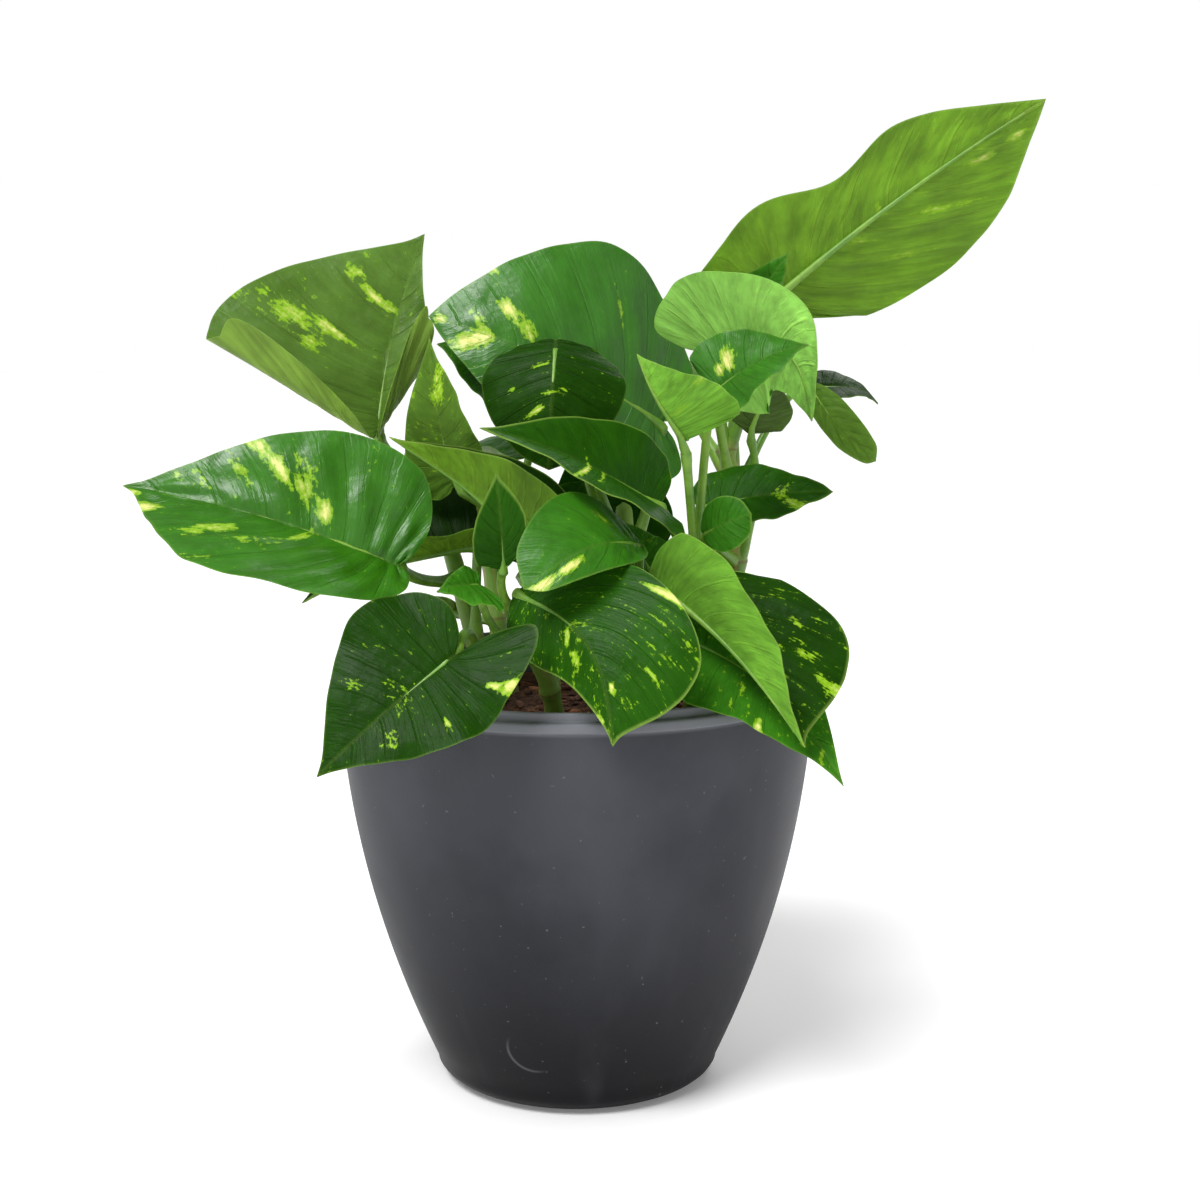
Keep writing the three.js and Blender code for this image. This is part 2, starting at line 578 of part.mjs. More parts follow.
// ---- the plant ----
const plant = new THREE.Group();
plant.add(namedMesh('pot', potGeometry(), POT_LOOK));
plant.add(namedMesh('soil', soilGeometry(), SOIL_LOOK));
for (const name of Object.keys(VINES)) {
  plant.add(namedMesh(name, vineGeometry(name), VINE_LOOK));
}
for (const row of LEAVES) {
  plant.add(namedMesh(row.name, leafGeometry(row), LEAF_LOOK));
}

export default plant;
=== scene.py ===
"""A potted pothos: a round tapered matt pot, bark soil, six vines and heart-shaped variegated leaves.

Lengths in the tables are millimetres in the part's own frame (+Z up, -Y front), and MM turns them into
Blender's metres. Each leaf is one closed mesh: a blade with an upper and a lower skin, and a stalk whose
end runs on under the blade as its midrib.
"""

import math
import random

import bpy
import numpy as np
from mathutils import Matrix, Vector


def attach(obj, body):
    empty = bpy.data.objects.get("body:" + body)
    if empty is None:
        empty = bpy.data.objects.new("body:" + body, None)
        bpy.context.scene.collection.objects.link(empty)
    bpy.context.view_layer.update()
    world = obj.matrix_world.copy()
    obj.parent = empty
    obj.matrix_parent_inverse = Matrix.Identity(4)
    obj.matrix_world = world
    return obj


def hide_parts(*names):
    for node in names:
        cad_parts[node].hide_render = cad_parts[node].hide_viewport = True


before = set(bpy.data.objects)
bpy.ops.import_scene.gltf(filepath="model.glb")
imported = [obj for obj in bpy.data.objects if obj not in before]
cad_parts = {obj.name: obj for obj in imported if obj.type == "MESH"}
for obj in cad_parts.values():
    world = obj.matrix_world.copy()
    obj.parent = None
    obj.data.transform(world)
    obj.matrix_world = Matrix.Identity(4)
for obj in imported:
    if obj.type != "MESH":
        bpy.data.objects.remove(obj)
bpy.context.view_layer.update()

MM = 0.001

# ---- pot and soil, the same dimensions as the CAD part ----
RIM_RADIUS = 76
FOOT_RADIUS = 35
HEEL_RADIUS = 46
HEEL_HEIGHT = 7
BELLY_RADIUS = 73.5
BELLY_HEIGHT = 66.7
WALL_TOP = 127.5
BEAD_PROUD = 0.6
BEAD_HEIGHT = 3.5
COLLAR_INSET = 2.0
COLLAR_HEIGHT = 2.6
WALL_THICKNESS = 2.6
FLOOR_THICKNESS = 3
BEAD_ROUNDING = 0.9             # radius of the bead's upper edge
LIP_ROUNDING = 0.6              # of the lip's two edges
CORNER_ROUNDING = 0.5           # under the bead, and where it meets the lip
DRAIN_HOLES = 6
DRAIN_RADIUS = 4.5
DRAIN_CIRCLE = 24
POT_SEGMENTS = 160
SCUFF_CENTRE = (-0.012, 0.0252)  # metres across and up, in front
SCUFF_RADIUS = 0.0087           # metres
SCUFF_WIDTH = 0.0007            # metres
STREAKING = (40.0, 40.0, 6.0)   # cells per metre of the pot's upright streaks
POT_PAINTED_SHADE_TOP = 0.12                # painted shade darkens the pot below this height, in metres
BEAD_PAINTED_HIGHLIGHT = (0.1265, 0.1285)   # and a painted highlight turns the bead paler between these two
SOIL_EDGE_HEIGHT = 118
SOIL_CROWN_HEIGHT = 121
SOIL_RADIUS = 71
SOIL_GAP = 0.3                  # between the soil and the pot
CHIP_COUNT = 420
CHIP_CORNERS = 24               # of one chip, on average
CHIP_REACH = 69                 # no chip's middle lies further from the pot's axis
CHIP_TO_VINE = 5.5              # or nearer to the middle of a vine

# ---- plant ----
VINE_RADIUS = 3.0
VINE_SIDES = 20
VINE_STEPS = 60
VINE_TAPER = (1.05, 0.88)       # thickness at the foot and at the tip, of VINE_RADIUS
NODE_SWELL = 0.45               # how far a vine swells where a stalk leaves it
NODE_SPREAD = 0.022             # over how much of the vine's length
VINE_CLOSING = 0.035            # the last share of a vine, where it rounds off
STALK_RADIUS = 1.75             # of the longest leaf
STALK_ROOT = 0.35               # how far out in its vine a stalk starts, of VINE_RADIUS
STALK_END = 0.93                # where under the blade the midrib runs out, in leaf lengths
RIB_THICKNESS = (0.95, 0.12)    # of the stalk, where the blade starts and at that end
RIB_SINK = 0.78                 # how far the midrib hangs under the blade, of its own radius
STALK_SIDES = 14
STALK_STEPS = 34
BLADE_ROWS = 84                 # steps from the notch round to the tip
BLADE_COLUMNS = 17              # steps from the midrib out to the margin
COLUMN_CROWDING = 1.25          # above 1 gathers the columns near the midrib
BLADE_THICKNESS = 0.62
MARGIN_THICKNESS = 0.26
CHANNEL_DEPTH = 0.45            # of the channel over the midrib, at the stalk
CHANNEL_WIDTH = 0.9
LOBE_BEND_RADIUS = 5            # of the crease that a raised lobe bends round
HALF_WIDTH = 0.49               # widest half, in leaf widths
LOBE_REACH = 0.15               # a plain basal lobe's length, in leaf lengths
HANDLE_REACH = 0.37             # how far each end of a midrib runs straight on, in leaf lengths
HANDLE_GAIN = 0.25              # how much further where the midrib arches
ROOT_CROWDING = 2.3             # above 1 gathers the roots of the side veins near the stalk
VEIN_SWEEP = 1.4                # above 1 bends the side veins towards the tip
KNEE_PULL = 0.66                # how near its knee a stalk's curve passes, 0 to 1
WAIST_PLACE = 0.4               # where a half draws in, in leaf lengths from the stalk
WAIST_SPREAD = 0.16             # over how much of the leaf's length it does
VEIN_COUNT = 9                  # main side veins of each half
WAVE_COUNT = 3.2                # waves along each margin
HALVES_OFFSET = 0.45            # how far the right half's veins lie past the left's, in veins
MIDRIB_STATIONS = 200
SEED_STEP = 7.3                 # moves each leaf's noise away from the last one's

# ---- camera and stage ----
CAMERA_PLACE = (7.5, -634.0, 251.0)
CAMERA_DOWN = 8.6               # degrees below level
CAMERA_LENS = 60.15             # on a sensor 36 mm wide

# Half of a heart-shaped leaf from the notch to the tip:
# (distance along the midrib in leaf lengths, distance out in leaf widths)
HEART = (
    (0, 0), (-0.09, 0.07), (-LOBE_REACH, 0.22), (-0.08, 0.38), (0.09, 0.485), (0.28, HALF_WIDTH),
    (0.48, 0.39), (0.66, 0.26), (0.82, 0.125), (0.92, 0.045), (1, 0),
)

VINES = {
    "vine_left": ((-26, -12, 108), (-30, -14, 135), (-36, -10, 160), (-42, -4, 180)),
    "vine_back_left": ((-20, 20, 108), (-26, 24, 140), (-30, 30, 170), (-36, 34, 200)),
    "vine_front": ((-4, -30, 108), (-8, -40, 135), (-15, -48, 152), (-19, -52, 162)),
    "vine_center": ((12, 6, 108), (14, 4, 140), (16, 3, 166), (15, 5, 186)),
    "vine_right": ((34, -20, 108), (38, -22, 135), (40, -20, 158), (37, -16, 175)),
    "vine_right_back": ((42, 16, 108), (50, 16, 140), (52, 14, 170), (48, 16, 205)),
}

# What a leaf has unless its own row says otherwise. Pairs are (left half, right half), looking
# from the stalk to the tip with the upper side up, and one number stands for two alike. Angles are
# in degrees.
PLAIN_LEAF = {
    "rise": 12,         # the midrib leaves the stalk this far above the straight line to the tip
    "droop": 18,        # and reaches the tip this far below it
    "sway": 0,          # sideways bow of the midrib, percent of the length
    "fold": 18,         # how far each half is raised from flat, at the stalk
    "end": None,        # the same at the tip, where it differs
    "asym": 1,          # width of each half against the plain heart
    "shift": 0,         # widest place moved towards the tip, in leaf lengths
    "waist": 0,         # how much of its width each half loses at its waist
    "lobe": 1,          # length of each basal lobe against the plain heart
    "square": 1,        # 1 for pointed basal lobes, less for broader ones
    "slant": 0,         # how far the crease of each raised lobe runs towards the tip
    "lift": 10,         # how far the basal lobes are raised
    "blunt": 0,         # 0 is a heart, 1 an ellipse
    "quilt": 0.2,       # height of the swellings between the side veins
    "sharp": 0.0,       # 0 for soft swellings, 1 for creases along the veins
    "wave": 0.9,        # height of the waves along the margin
    "curl": 0.5,        # how far each margin turns down (or up, where it is negative)
    "top": "dark",      # colour of the upper side, from LEAF_TOPS
    "under": "olive",   # colour of the lower side, from LEAF_UNDERS
    "flecks": 0.05,     # pale flecks all over the blade
    "shine": "matt",    # how much the upper side shines, from LEAF_SHINE
    "pale_margin": 0.15,  # how far the margin turns to MARGIN
    "marks": (),        # pale patches, in hundredths: (place from notch to tip, place from midrib to
                        # margin, half length along the vein, half width across, strength)
}

PAIRED = ("fold", "asym", "shift", "waist", "lobe", "slant", "curl")


def leaf(name, vine, along, knee, base, tip, face, width, **own):
    """One leaf. Its stalk leaves the vine at along of the vine's length, bends at knee and reaches the
    blade at base. The blade ends at tip, its upper side looks towards face, and it is width across."""
    row = {**PLAIN_LEAF, **own, "name": "leaf_" + name, "vine": "vine_" + vine, "along": along,
           "knee": knee, "base": base, "tip": tip, "face": face, "width": width}
    for key in PAIRED:
        if not isinstance(row[key], tuple):
            row[key] = (row[key], row[key])
    return row


LEAVES = [
    leaf("left_big", "left", 0.75, (-49, -30, 164), (-52, -50, 173), (-133, -45, 196),
         (-0.05, -0.8, 0.6), 66, fold=(32, 14), rise=14, droop=12, shift=(0.28, 0.04), lobe=(1, 0.5),
         top="bright", shine="glossy", under="light", quilt=1.3, wave=0.8, flecks=0.1, sharp=0.6,
         marks=((70, 100, 10, 1.5, 75), (68, 90, 15, 2, 85), (66, 65, 20, 2, 90), (62, 45, 20, 2.5, 70),
                (57, 25, 15, 2.5, 90), (60, 60, 40, 4, 40), (75, 70, 35, 2, 50), (88, 80, 35, 1.5, 50),
                (84, 60, 45, 2, 40), (70, -60, 20, 3, 60), (68, -80, 10, 3, 50), (86, -95, 20, 3.5, 100),
                (95, -100, 30, 2, 90), (55, -95, 10, 2.5, 55), (60, -10, 30, 2, 45),
                (60, -55, 25, 3.5, 40), (45, 75, 25, 2, 30))),
    leaf("funnel", "back_left", 0.8, (-62, 18, 195), (-63, 2, 209), (-49, 22, 271), (0.05, -0.88, 0.45),
         104, fold=(18, 30), end=(0, 10), asym=(1.09, 0.3), shift=(0.14, 0), lobe=(1.35, 1), square=0.35,
         slant=(0.34, 0.42), lift=140, rise=-10, droop=-10, sway=-6, top="moss", shine="satin",
         under="moss", quilt=0.35, flecks=0.12,
         marks=((60, -70, 40, 10, 30), (60, -90, 5, 2.5, 60), (60, -70, 15, 3.5, 65),
                (57, -50, 10, 3.5, 60), (64, -45, 20, 1.5, 80), (80, -75, 15, 3, 50),
                (80, -30, 30, 1.5, 85), (55, -100, 10, 3.5, 45))),
    leaf("crown", "center", 0.75, (29, 19, 198), (27, 13, 211), (-46, -2, 245), (0.1, -0.9, 0.3), 82,
         rise=22, droop=27, fold=0, asym=(0.75, 1.1), shift=(0, 0.18), blunt=0.2, top="mid",
         shine="glossy", quilt=0.55, sharp=0.4, flecks=0.07,
         marks=((82, 55, 15, 2, 100), (80, 30, 20, 2, 80), (80, 20, 10, 1, 90), (90, -40, 70, 2.5, 100),
                (98, 0, 90, 1.5, 70), (80, 100, 5, 1, 85), (90, 40, 30, 2, 55), (50, 60, 15, 1, 50),
                (30, 80, 5, 1, 60))),
    leaf("arched", "center", 0.8, (2, -20, 202), (-6, -15, 238), (-8, -27, 199), (0, -0.9, 0.4), 49,
         rise=26, droop=20, fold=-14, lobe=0.1, blunt=0.6, top="deep", flecks=0.1,
         marks=((50, 20, 20, 2.5, 50), (70, 0, 25, 1.5, 50), (76, 30, 20, 1.5, 85), (66, -20, 15, 2, 40),
                (60, 60, 10, 2.5, 45))),
    leaf("upright", "center", 0.52, (-18, -26, 182), (-37, -24, 194), (-44, -24, 239), (-0.3, -0.9, 0.1),
         25, fold=15, lobe=0.5, top="moss", flecks=0.17,
         marks=((80, 30, 60, 5.5, 60), (85, 70, 90, 3.5, 60))),
    leaf("under_crown", "back_left", 0.6, (-10, 18, 208), (-13, 16, 222), (-45, 15, 236), (0, -0.7, 0.7),
         44, fold=10, quilt=0.3, flecks=0.14),
    leaf("centre", "right", 0.85, (30, -24, 181), (25, -31, 189), (-27, -61, 214), (0.1, -0.66, 0.74),
         44, rise=8, droop=12, fold=(25, 24), lobe=0.3, asym=(1, 0.86), quilt=0.12, flecks=0.01,
         pale_margin=0.5,
         marks=((70, -50, 75, 1, 90), (64, -30, 50, 1, 60))),
    leaf("round_young", "right", 0.78, (44, -32, 174), (38, -42, 181), (52, -48, 188), (0, -0.9, 0.4),
         17, rise=20, droop=20, fold=0, lobe=0, blunt=1, top="mid", quilt=0, flecks=0, wave=0.2,
         curl=0.2, pale_margin=0.35),
    leaf("folded_left", "front", 0.45, (-5, -34, 152), (-10, -39, 163), (-55, -40, 210),
         (0.6, -0.3, 0.65), 48, rise=25, droop=15, fold=(78, 40), top="in_shade", quilt=0.15, flecks=0.06,
         pale_margin=0.35),
    leaf("inner_left", "left", 0.5, (-31, -18, 166), (-30, -22, 176), (-84, -26, 158), (0, -0.75, 0.65),
         52, rise=10, droop=20, fold=(80, 10), asym=(0.55, 1), lobe=0.3, top="in_shade"),
    leaf("spear_front", "front", 0.97, (-22.6, -63.5, 168), (-20, -66, 174), (-22, -67, 202),
         (0.1, -0.95, 0.2), 16, fold=15, lobe=0, asym=(1.1, 0.93), shift=(0.1, 0.25), under="light",
         quilt=0.1, wave=0.3, curl=0.1, flecks=0, pale_margin=0.4),
    leaf("curled_front", "center", 0.45, (20, -38, 164), (19, -48, 179), (-14, -78, 170),
         (0.1, -0.8, 0.6), 40, rise=30, droop=38, fold=(-5, 5), asym=(0.47, 1), blunt=0.8, lobe=0.2,
         top="mid", shine="satin", under="light", quilt=0.25, wave=0.1, curl=(-1.5, 0), flecks=0.08,
         pale_margin=0.2,
         marks=((82, -45, 25, 5.5, 100), (90, -80, 35, 6.5, 95), (50, 45, 25, 5, 40))),
    leaf("rim_front", "front", 0.9, (-12.5, -54, 164), (-17, -60, 166), (11, -92, 128),
         (-0.2, -0.85, 0.5), 62, rise=15, droop=15, fold=(0, -15), sway=-22, shift=(0.42, 0.1),
         lobe=(0.4, 0.2), asym=(0.93, 0.5), quilt=0.14, wave=0.4, curl=1, flecks=0.18, pale_margin=0.5,
         marks=((40, -90, 10, 2, 80), (39, -100, 10, 2, 100), (51, -90, 3, 2.5, 100),
                (51, -75, 5, 1, 85), (64, 25, 20, 2.5, 60), (70, 55, 25, 4.5, 55),
                (86, -25, 10, 1.5, 85), (70, -75, 5, 1.5, 85), (90, 95, 35, 4, 50))),
    leaf("rim_left", "left", 0.3, (-30, -54, 164), (-33, -82, 152), (-70, -99, 121), (-0.1, -0.85, 0.5),
         55, rise=8, droop=10, fold=5, lobe=(2.8, 1.1), asym=(0.85, 1.03), top="deep", quilt=0.1,
         flecks=0.11,
         marks=((31, -75, 10, 1, 100), (30, -95, 10, 1.5, 95), (54, -70, 10, 1, 100),
                (65, 0, 45, 7.5, 33), (70, 70, 25, 4.5, 35), (75, -60, 35, 4, 40))),
    leaf("rim_right_folded", "center", 0.2, (18, -36, 158), (22, -50, 170), (65, -84, 126),
         (0.64, -0.25, 0.7), 60, rise=10, droop=10, fold=50, shift=(0.42, 0.15), lobe=0.2, top="deep",
         under="light", quilt=0.12, flecks=0.17, pale_margin=0.35,
         marks=((65, -75, 5, 2.5, 70), (72, -90, 10, 3.5, 55), (78, -45, 10, 1.5, 70),
                (72, -100, 5, 4, 60), (52, -70, 5, 4, 50))),
    leaf("rim_right_low", "right", 0.25, (36, -33, 142), (34, -46, 150), (77, -77, 113),
         (0.1, -0.8, 0.6), 44, rise=10, droop=10, fold=15, sway=-10, asym=(0.7, 1), top="mid",
         quilt=0.12, flecks=0.16,
         marks=((70, 100, 25, 1.5, 100), (62, 40, 20, 1.5, 60), (60, 80, 20, 1, 55), (92, 50, 90, 1, 60))),
    leaf("right_mid", "right_back", 0.6, (39, -5, 175), (39, -8, 186), (80, -12, 191), (0, -0.68, 0.73),
         27, rise=8, droop=8, fold=10, lobe=0.5, blunt=0.3, quilt=0.25, flecks=0.08,
         marks=((80, 90, 65, 4.5, 60), (80, 5, 80, 4.5, 45))),
    leaf("top_right", "right_back", 0.9, (52, 28, 228), (58, 28, 245), (151, 28, 314), (0.35, 0.65, 0.5),
         56, rise=0, droop=0, sway=3, fold=6, asym=(1.14, 1.1), shift=(0.3, 0.08), waist=(0, 0.4),
         lobe=(0.1, 1.7), blunt=0.1, top="mid", quilt=1, wave=0.8, flecks=0.1, pale_margin=0.35,
         marks=((85, -50, 20, 2, 85), (90, -75, 15, 2, 80), (70, -50, 15, 1.5, 60),
                (54, -60, 10, 1.5, 55), (70, 5, 15, 1, 70), (62, -10, 20, 1.5, 50),
                (32, -30, 10, 2.5, 60), (70, -75, 10, 1.5, 50))),
    leaf("cap", "right_back", 0.85, (44, 2, 216), (41, -10, 234), (71, -32, 214), (0.1, 0.85, 0.5), 50,
         rise=25, droop=30, sway=37, fold=0, shift=(0, -0.1), lobe=(1, 1.5), asym=(1, 1.06), blunt=0.1,
         top="bright", under="cap", flecks=0.01, pale_margin=0.2),
    leaf("crescent", "right", 0.97, (39, -36, 215), (41, -39, 223), (69, -39, 237), (-0.1, -0.7, 0.7),
         30, fold=20, rise=20, droop=20, lobe=0.2, top="mid", shine="satin", under="light", quilt=0.1,
         flecks=0.01,
         marks=((54, -40, 25, 5.5, 100), (45, -30, 15, 5.5, 90))),
    leaf("hanging_right", "right_back", 0.97, (60, 13, 234), (74, 2, 223), (94, -6, 200),
         (0.4, -0.8, 0.3), 13.5, fold=(35, 15), rise=14, droop=14, sway=16, lobe=0.3, blunt=0.95,
         top="moss", under="moss", quilt=0.35, wave=0.3, flecks=0.1),
    leaf("small_right", "right_back", 0.8, (68, 36, 224), (77, 24, 222), (99, 28, 216), (0, -0.4, 0.9),
         20, fold=8, rise=14, droop=34, lobe=0.3, top="in_shade", quilt=0.1, wave=0.25, flecks=0.03),
    leaf("inner_right", "right_back", 0.6, (61, 8, 190), (55, 6, 208), (63, 4, 226), (-0.1, 0.85, 0.5),
         24, fold=(6, 10), lobe=0, asym=(1, 0.9), shift=(0.25, 0.15), rise=6, droop=10, top="moss",
         under="shade", wave=0.3, flecks=0.025),
    leaf("stalk_folded", "right", 0.5, (35.5, -48, 178), (32, -54, 210), (18, -62, 235), (0.3, 0.8, 0.4),
         44, fold=(0, 75), rise=-10, droop=-20, shift=(0.08, 0), lobe=(0, 1), top="bright",
         shine="satin", under="light", quilt=0.15, flecks=0.12, pale_margin=0.3,
         marks=((66, -95, 25, 4, 50), (60, -25, 30, 6.5, 40))),
    leaf("small_front", "front", 0.68, (-28, -54, 154), (-27, -62, 169), (-39, -70, 168), (0, -0.7, 0.7),
         24, lobe=0.3, asym=(1.2, 0.5), top="mid", flecks=0.1),
    leaf("inner_patched", "right", 0.5, (29, -18, 160), (23, -18, 167), (14, -28, 184), (0, -0.9, 0.4),
         18, lobe=0.2, top="mid", quilt=0.15, flecks=0.18),
    leaf("behind_cap", "right_back", 0.97, (44, 15, 228), (55, 8, 248), (67, 4, 265), (0, -0.9, 0.3), 14,
         top="mid", quilt=0.1),
    leaf("inner_centre", "center", 0.4, (-2, 9, 156), (-7, 7, 164), (2, 4, 193), (0, -0.8, 0.5), 38,
         lobe=0.3, blunt=0.3, asym=(1.1, 0.6), quilt=0.6),
    leaf("behind_centre", "center", 0.3, (16, 22, 157), (14, 28, 165), (3, 30, 206), (0, -0.95, 0.3), 44,
         fold=8, rise=8, droop=10, lobe=0.6, blunt=0.3, flecks=0.08),
    leaf("back_high", "center", 0.6, (-2, 24, 212), (-4, 34, 222), (-14, 104, 196), (0, 0.3, 0.95), 60,
         rise=15, droop=25, top="mid", quilt=0.4, flecks=0.15),
    leaf("back_high_right", "right_back", 0.9, (32, 28, 222), (28, 36, 228), (38, 92, 214),
         (0.2, 0.1, 0.95), 36, rise=15, droop=25, top="mid", quilt=0.25, flecks=0.11),
    leaf("back_left", "back_left", 0.7, (-18, 42, 186), (-25, 48, 196), (-66, 92, 186), (0, 0.1, 1), 38,
         rise=15, droop=25, quilt=0.25, flecks=0.15),
    leaf("back_low", "back_left", 0.3, (-4, 46, 150), (0, 60, 152), (10, 108, 108), (0, 0.7, 0.7), 50,
         rise=15, droop=20, quilt=0.25, flecks=0.11),
    leaf("back_low_right", "right_back", 0.2, (46, 36, 140), (48, 50, 144), (80, 84, 116),
         (0.3, 0.5, 0.8), 38, rise=15, droop=20, top="bright", quilt=0.25, flecks=0.13),
    leaf("back_low_left", "back_left", 0.4, (-36, 38, 142), (-42, 46, 144), (-76, 82, 118),
         (-0.3, 0.5, 0.8), 40, rise=15, droop=20, top="mid", quilt=0.3, flecks=0.1),
]


# ---- numbers and curves ----
def srgb(red, green, blue):
    """A colour given as on screen, 0 to 255, as Blender's linear one."""
    values = [channel / 255 for channel in (red, green, blue)]
    linear = [v / 12.92 if v <= 0.04045 else ((v + 0.055) / 1.055) ** 2.4 for v in values]
    return (*linear, 1.0)


def skin_colour(shade):
    """A leaf colour as the values that each point of a skin carries."""
    return dict(zip(("red", "green", "blue"), srgb(*shade)))


def unit(vector):
    return vector / np.linalg.norm(vector, axis=-1, keepdims=True)


def mix(a, b, t):
    return a + (b - a) * t


def smooth_step(low, high, value):
    t = np.clip((value - low) / (high - low), 0, 1)
    return t * t * (3 - 2 * t)


def even_points(points, count):
    """count + 1 points evenly spaced along the polyline."""
    points = np.asarray(points, float)
    steps = np.linalg.norm(np.diff(points, axis=0), axis=1)
    reached = np.concatenate([[0], np.cumsum(steps)])
    wanted = np.linspace(0, reached[-1], count + 1)
    return np.stack([np.interp(wanted, reached, column) for column in points.T], -1)


def catmull_rom(points, count):
    """count + 1 evenly spaced points on the smooth curve through points."""
    points = np.asarray(points, float)
    ends = np.vstack([2 * points[0] - points[1], points, 2 * points[-1] - points[-2]])
    t = np.linspace(0, 1, 24, endpoint=False)[:, None]
    spans = []
    for a, b, c, d in zip(ends, ends[1:], ends[2:], ends[3:]):
        curve = 2 * b + (c - a) * t + (2 * a - 5 * b + 4 * c - d) * t**2
        spans.append(0.5 * (curve + (3 * b - a - 3 * c + d) * t**3))
    return even_points(np.vstack([*spans, points[-1:]]), count)


def bezier(a, b, c, d, t):
    t = np.asarray(t, float)[:, None]
    return a * (1 - t) ** 3 + 3 * b * t * (1 - t) ** 2 + 3 * c * t**2 * (1 - t) + d * t**3


def sample(rows, where):
    """rows read at fractional places, 0 at the first row and 1 at the last."""
    steps = np.arange(len(rows))
    at = np.clip(where, 0, 1) * (len(rows) - 1)
    return np.stack([np.interp(at, steps, column) for column in rows.T], -1)


# ---- mesh making ----
class MeshParts:
    """Collects vertices, faces and their per-vertex values, and turns them into one object."""

    def __init__(self):
        self.points = []
        self.faces = []
        self.slots = []
        self.values = {}
        self.count = 0

    def add(self, points, faces, slot=0, **values):
        points = np.asarray(points, float).reshape(-1, 3)
        self.faces += [tuple(self.count + index for index in face) for face in faces]
        self.slots += [slot] * len(faces)
        for name in set(self.values) | set(values):
            before = self.values.setdefault(name, [np.zeros(self.count)])
            after = values.get(name, 0.0)
            before.append(np.broadcast_to(np.asarray(after, float), (len(points),)))
        self.points.append(points)
        self.count += len(points)

    def build(self, name, materials, sharp_degrees=50):
        mesh = bpy.data.meshes.new(name)
        mesh.from_pydata((np.vstack(self.points) * MM).tolist(), [], self.faces)
        for material in materials:
            mesh.materials.append(material)
        mesh.polygons.foreach_set("material_index", np.array(self.slots, np.int32))
        mesh.polygons.foreach_set("use_smooth", np.ones(len(self.faces), bool))
        for key, chunks in self.values.items():
            attribute = mesh.attributes.new(key, "FLOAT", "POINT")
            attribute.data.foreach_set("value", np.concatenate(chunks).astype(np.float32))
        mesh.update()
        mesh.set_sharp_from_angle(angle=math.radians(sharp_degrees))
        piece = bpy.data.objects.new(name, mesh)
        bpy.context.scene.collection.objects.link(piece)
        return piece


def place(piece, slot, *nodes):
    """Rides on the plant's one body and stands for its CAD nodes."""
    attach(piece, "root")
    if nodes:
        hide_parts(*nodes)
    return piece


def ring_quads(rings, sides):
    """Faces between rings of points, which are stored one after another."""
    faces = []
    for ring in range(rings - 1):
        for side in range(sides):
            after = (side + 1) % sides
            low = ring * sides
            faces.append((low + side, low + after, low + sides + after, low + sides + side))
    return faces


def tube_faces(rings, sides):
    """Faces of a tube of rings, closed at both ends."""
    ends = [tuple(reversed(range(sides))), tuple(range((rings - 1) * sides, rings * sides))]
    return ring_quads(rings, sides) + ends


def tube(path, radii, sides, up):
    """Rings round path. up is the way that the first point of the first ring faces."""
    ahead = unit(np.gradient(path, axis=0))
    rings = []
    for place_on, direction, radius in zip(path, ahead, radii):
        up = unit(up - (up @ direction) * direction)
        right = np.cross(direction, up)
        angle = np.linspace(0, 2 * np.pi, sides, endpoint=False)
        rings.append(place_on + radius * (np.outer(np.cos(angle), up) - np.outer(np.sin(angle), right)))
    return np.array(rings)


# ---- leaf shape ----
def midrib(leaf):
    """Stations along the midrib: place, direction, the way to the right, the way up; and its length."""
    base = np.array(leaf["base"], float)
    tip = np.array(leaf["tip"], float)
    ahead = unit(tip - base)
    face = np.array(leaf["face"], float)
    up = unit(face - (face @ ahead) * ahead)
    right = np.cross(ahead, up)
    reach = np.linalg.norm(tip - base)
    rise = math.radians(leaf["rise"])
    droop = math.radians(leaf["droop"])
    handle = reach * HANDLE_REACH * (1 + HANDLE_GAIN * (abs(rise) + abs(droop)))
    bow = right * leaf["sway"] * reach / 100
    leaving = ahead * math.cos(rise) + up * math.sin(rise)
    arriving = ahead * math.cos(droop) - up * math.sin(droop)
    dense = bezier(base, base + leaving * handle + bow, tip - arriving * handle + bow, tip,
                   np.linspace(0, 1, 400))
    line = even_points(dense, MIDRIB_STATIONS)
    along = unit(np.gradient(line, axis=0))
    out = unit(right - (along @ right)[:, None] * along)
    length = np.linalg.norm(np.diff(line, axis=0), axis=1).sum()
    return line, along, out, np.cross(out, along), length


def outline(leaf):
    """The margin of one half, from the notch to the tip, evenly spaced."""
    heart = np.array(HEART, float)
    inside = np.clip(heart[:, 0], 0, 1)
    oval = HALF_WIDTH * np.sqrt(1 - (2 * inside - 1) ** 2)
    heart[:, 1] = mix(heart[:, 1], oval, leaf["blunt"])
    return catmull_rom(heart, BLADE_ROWS)


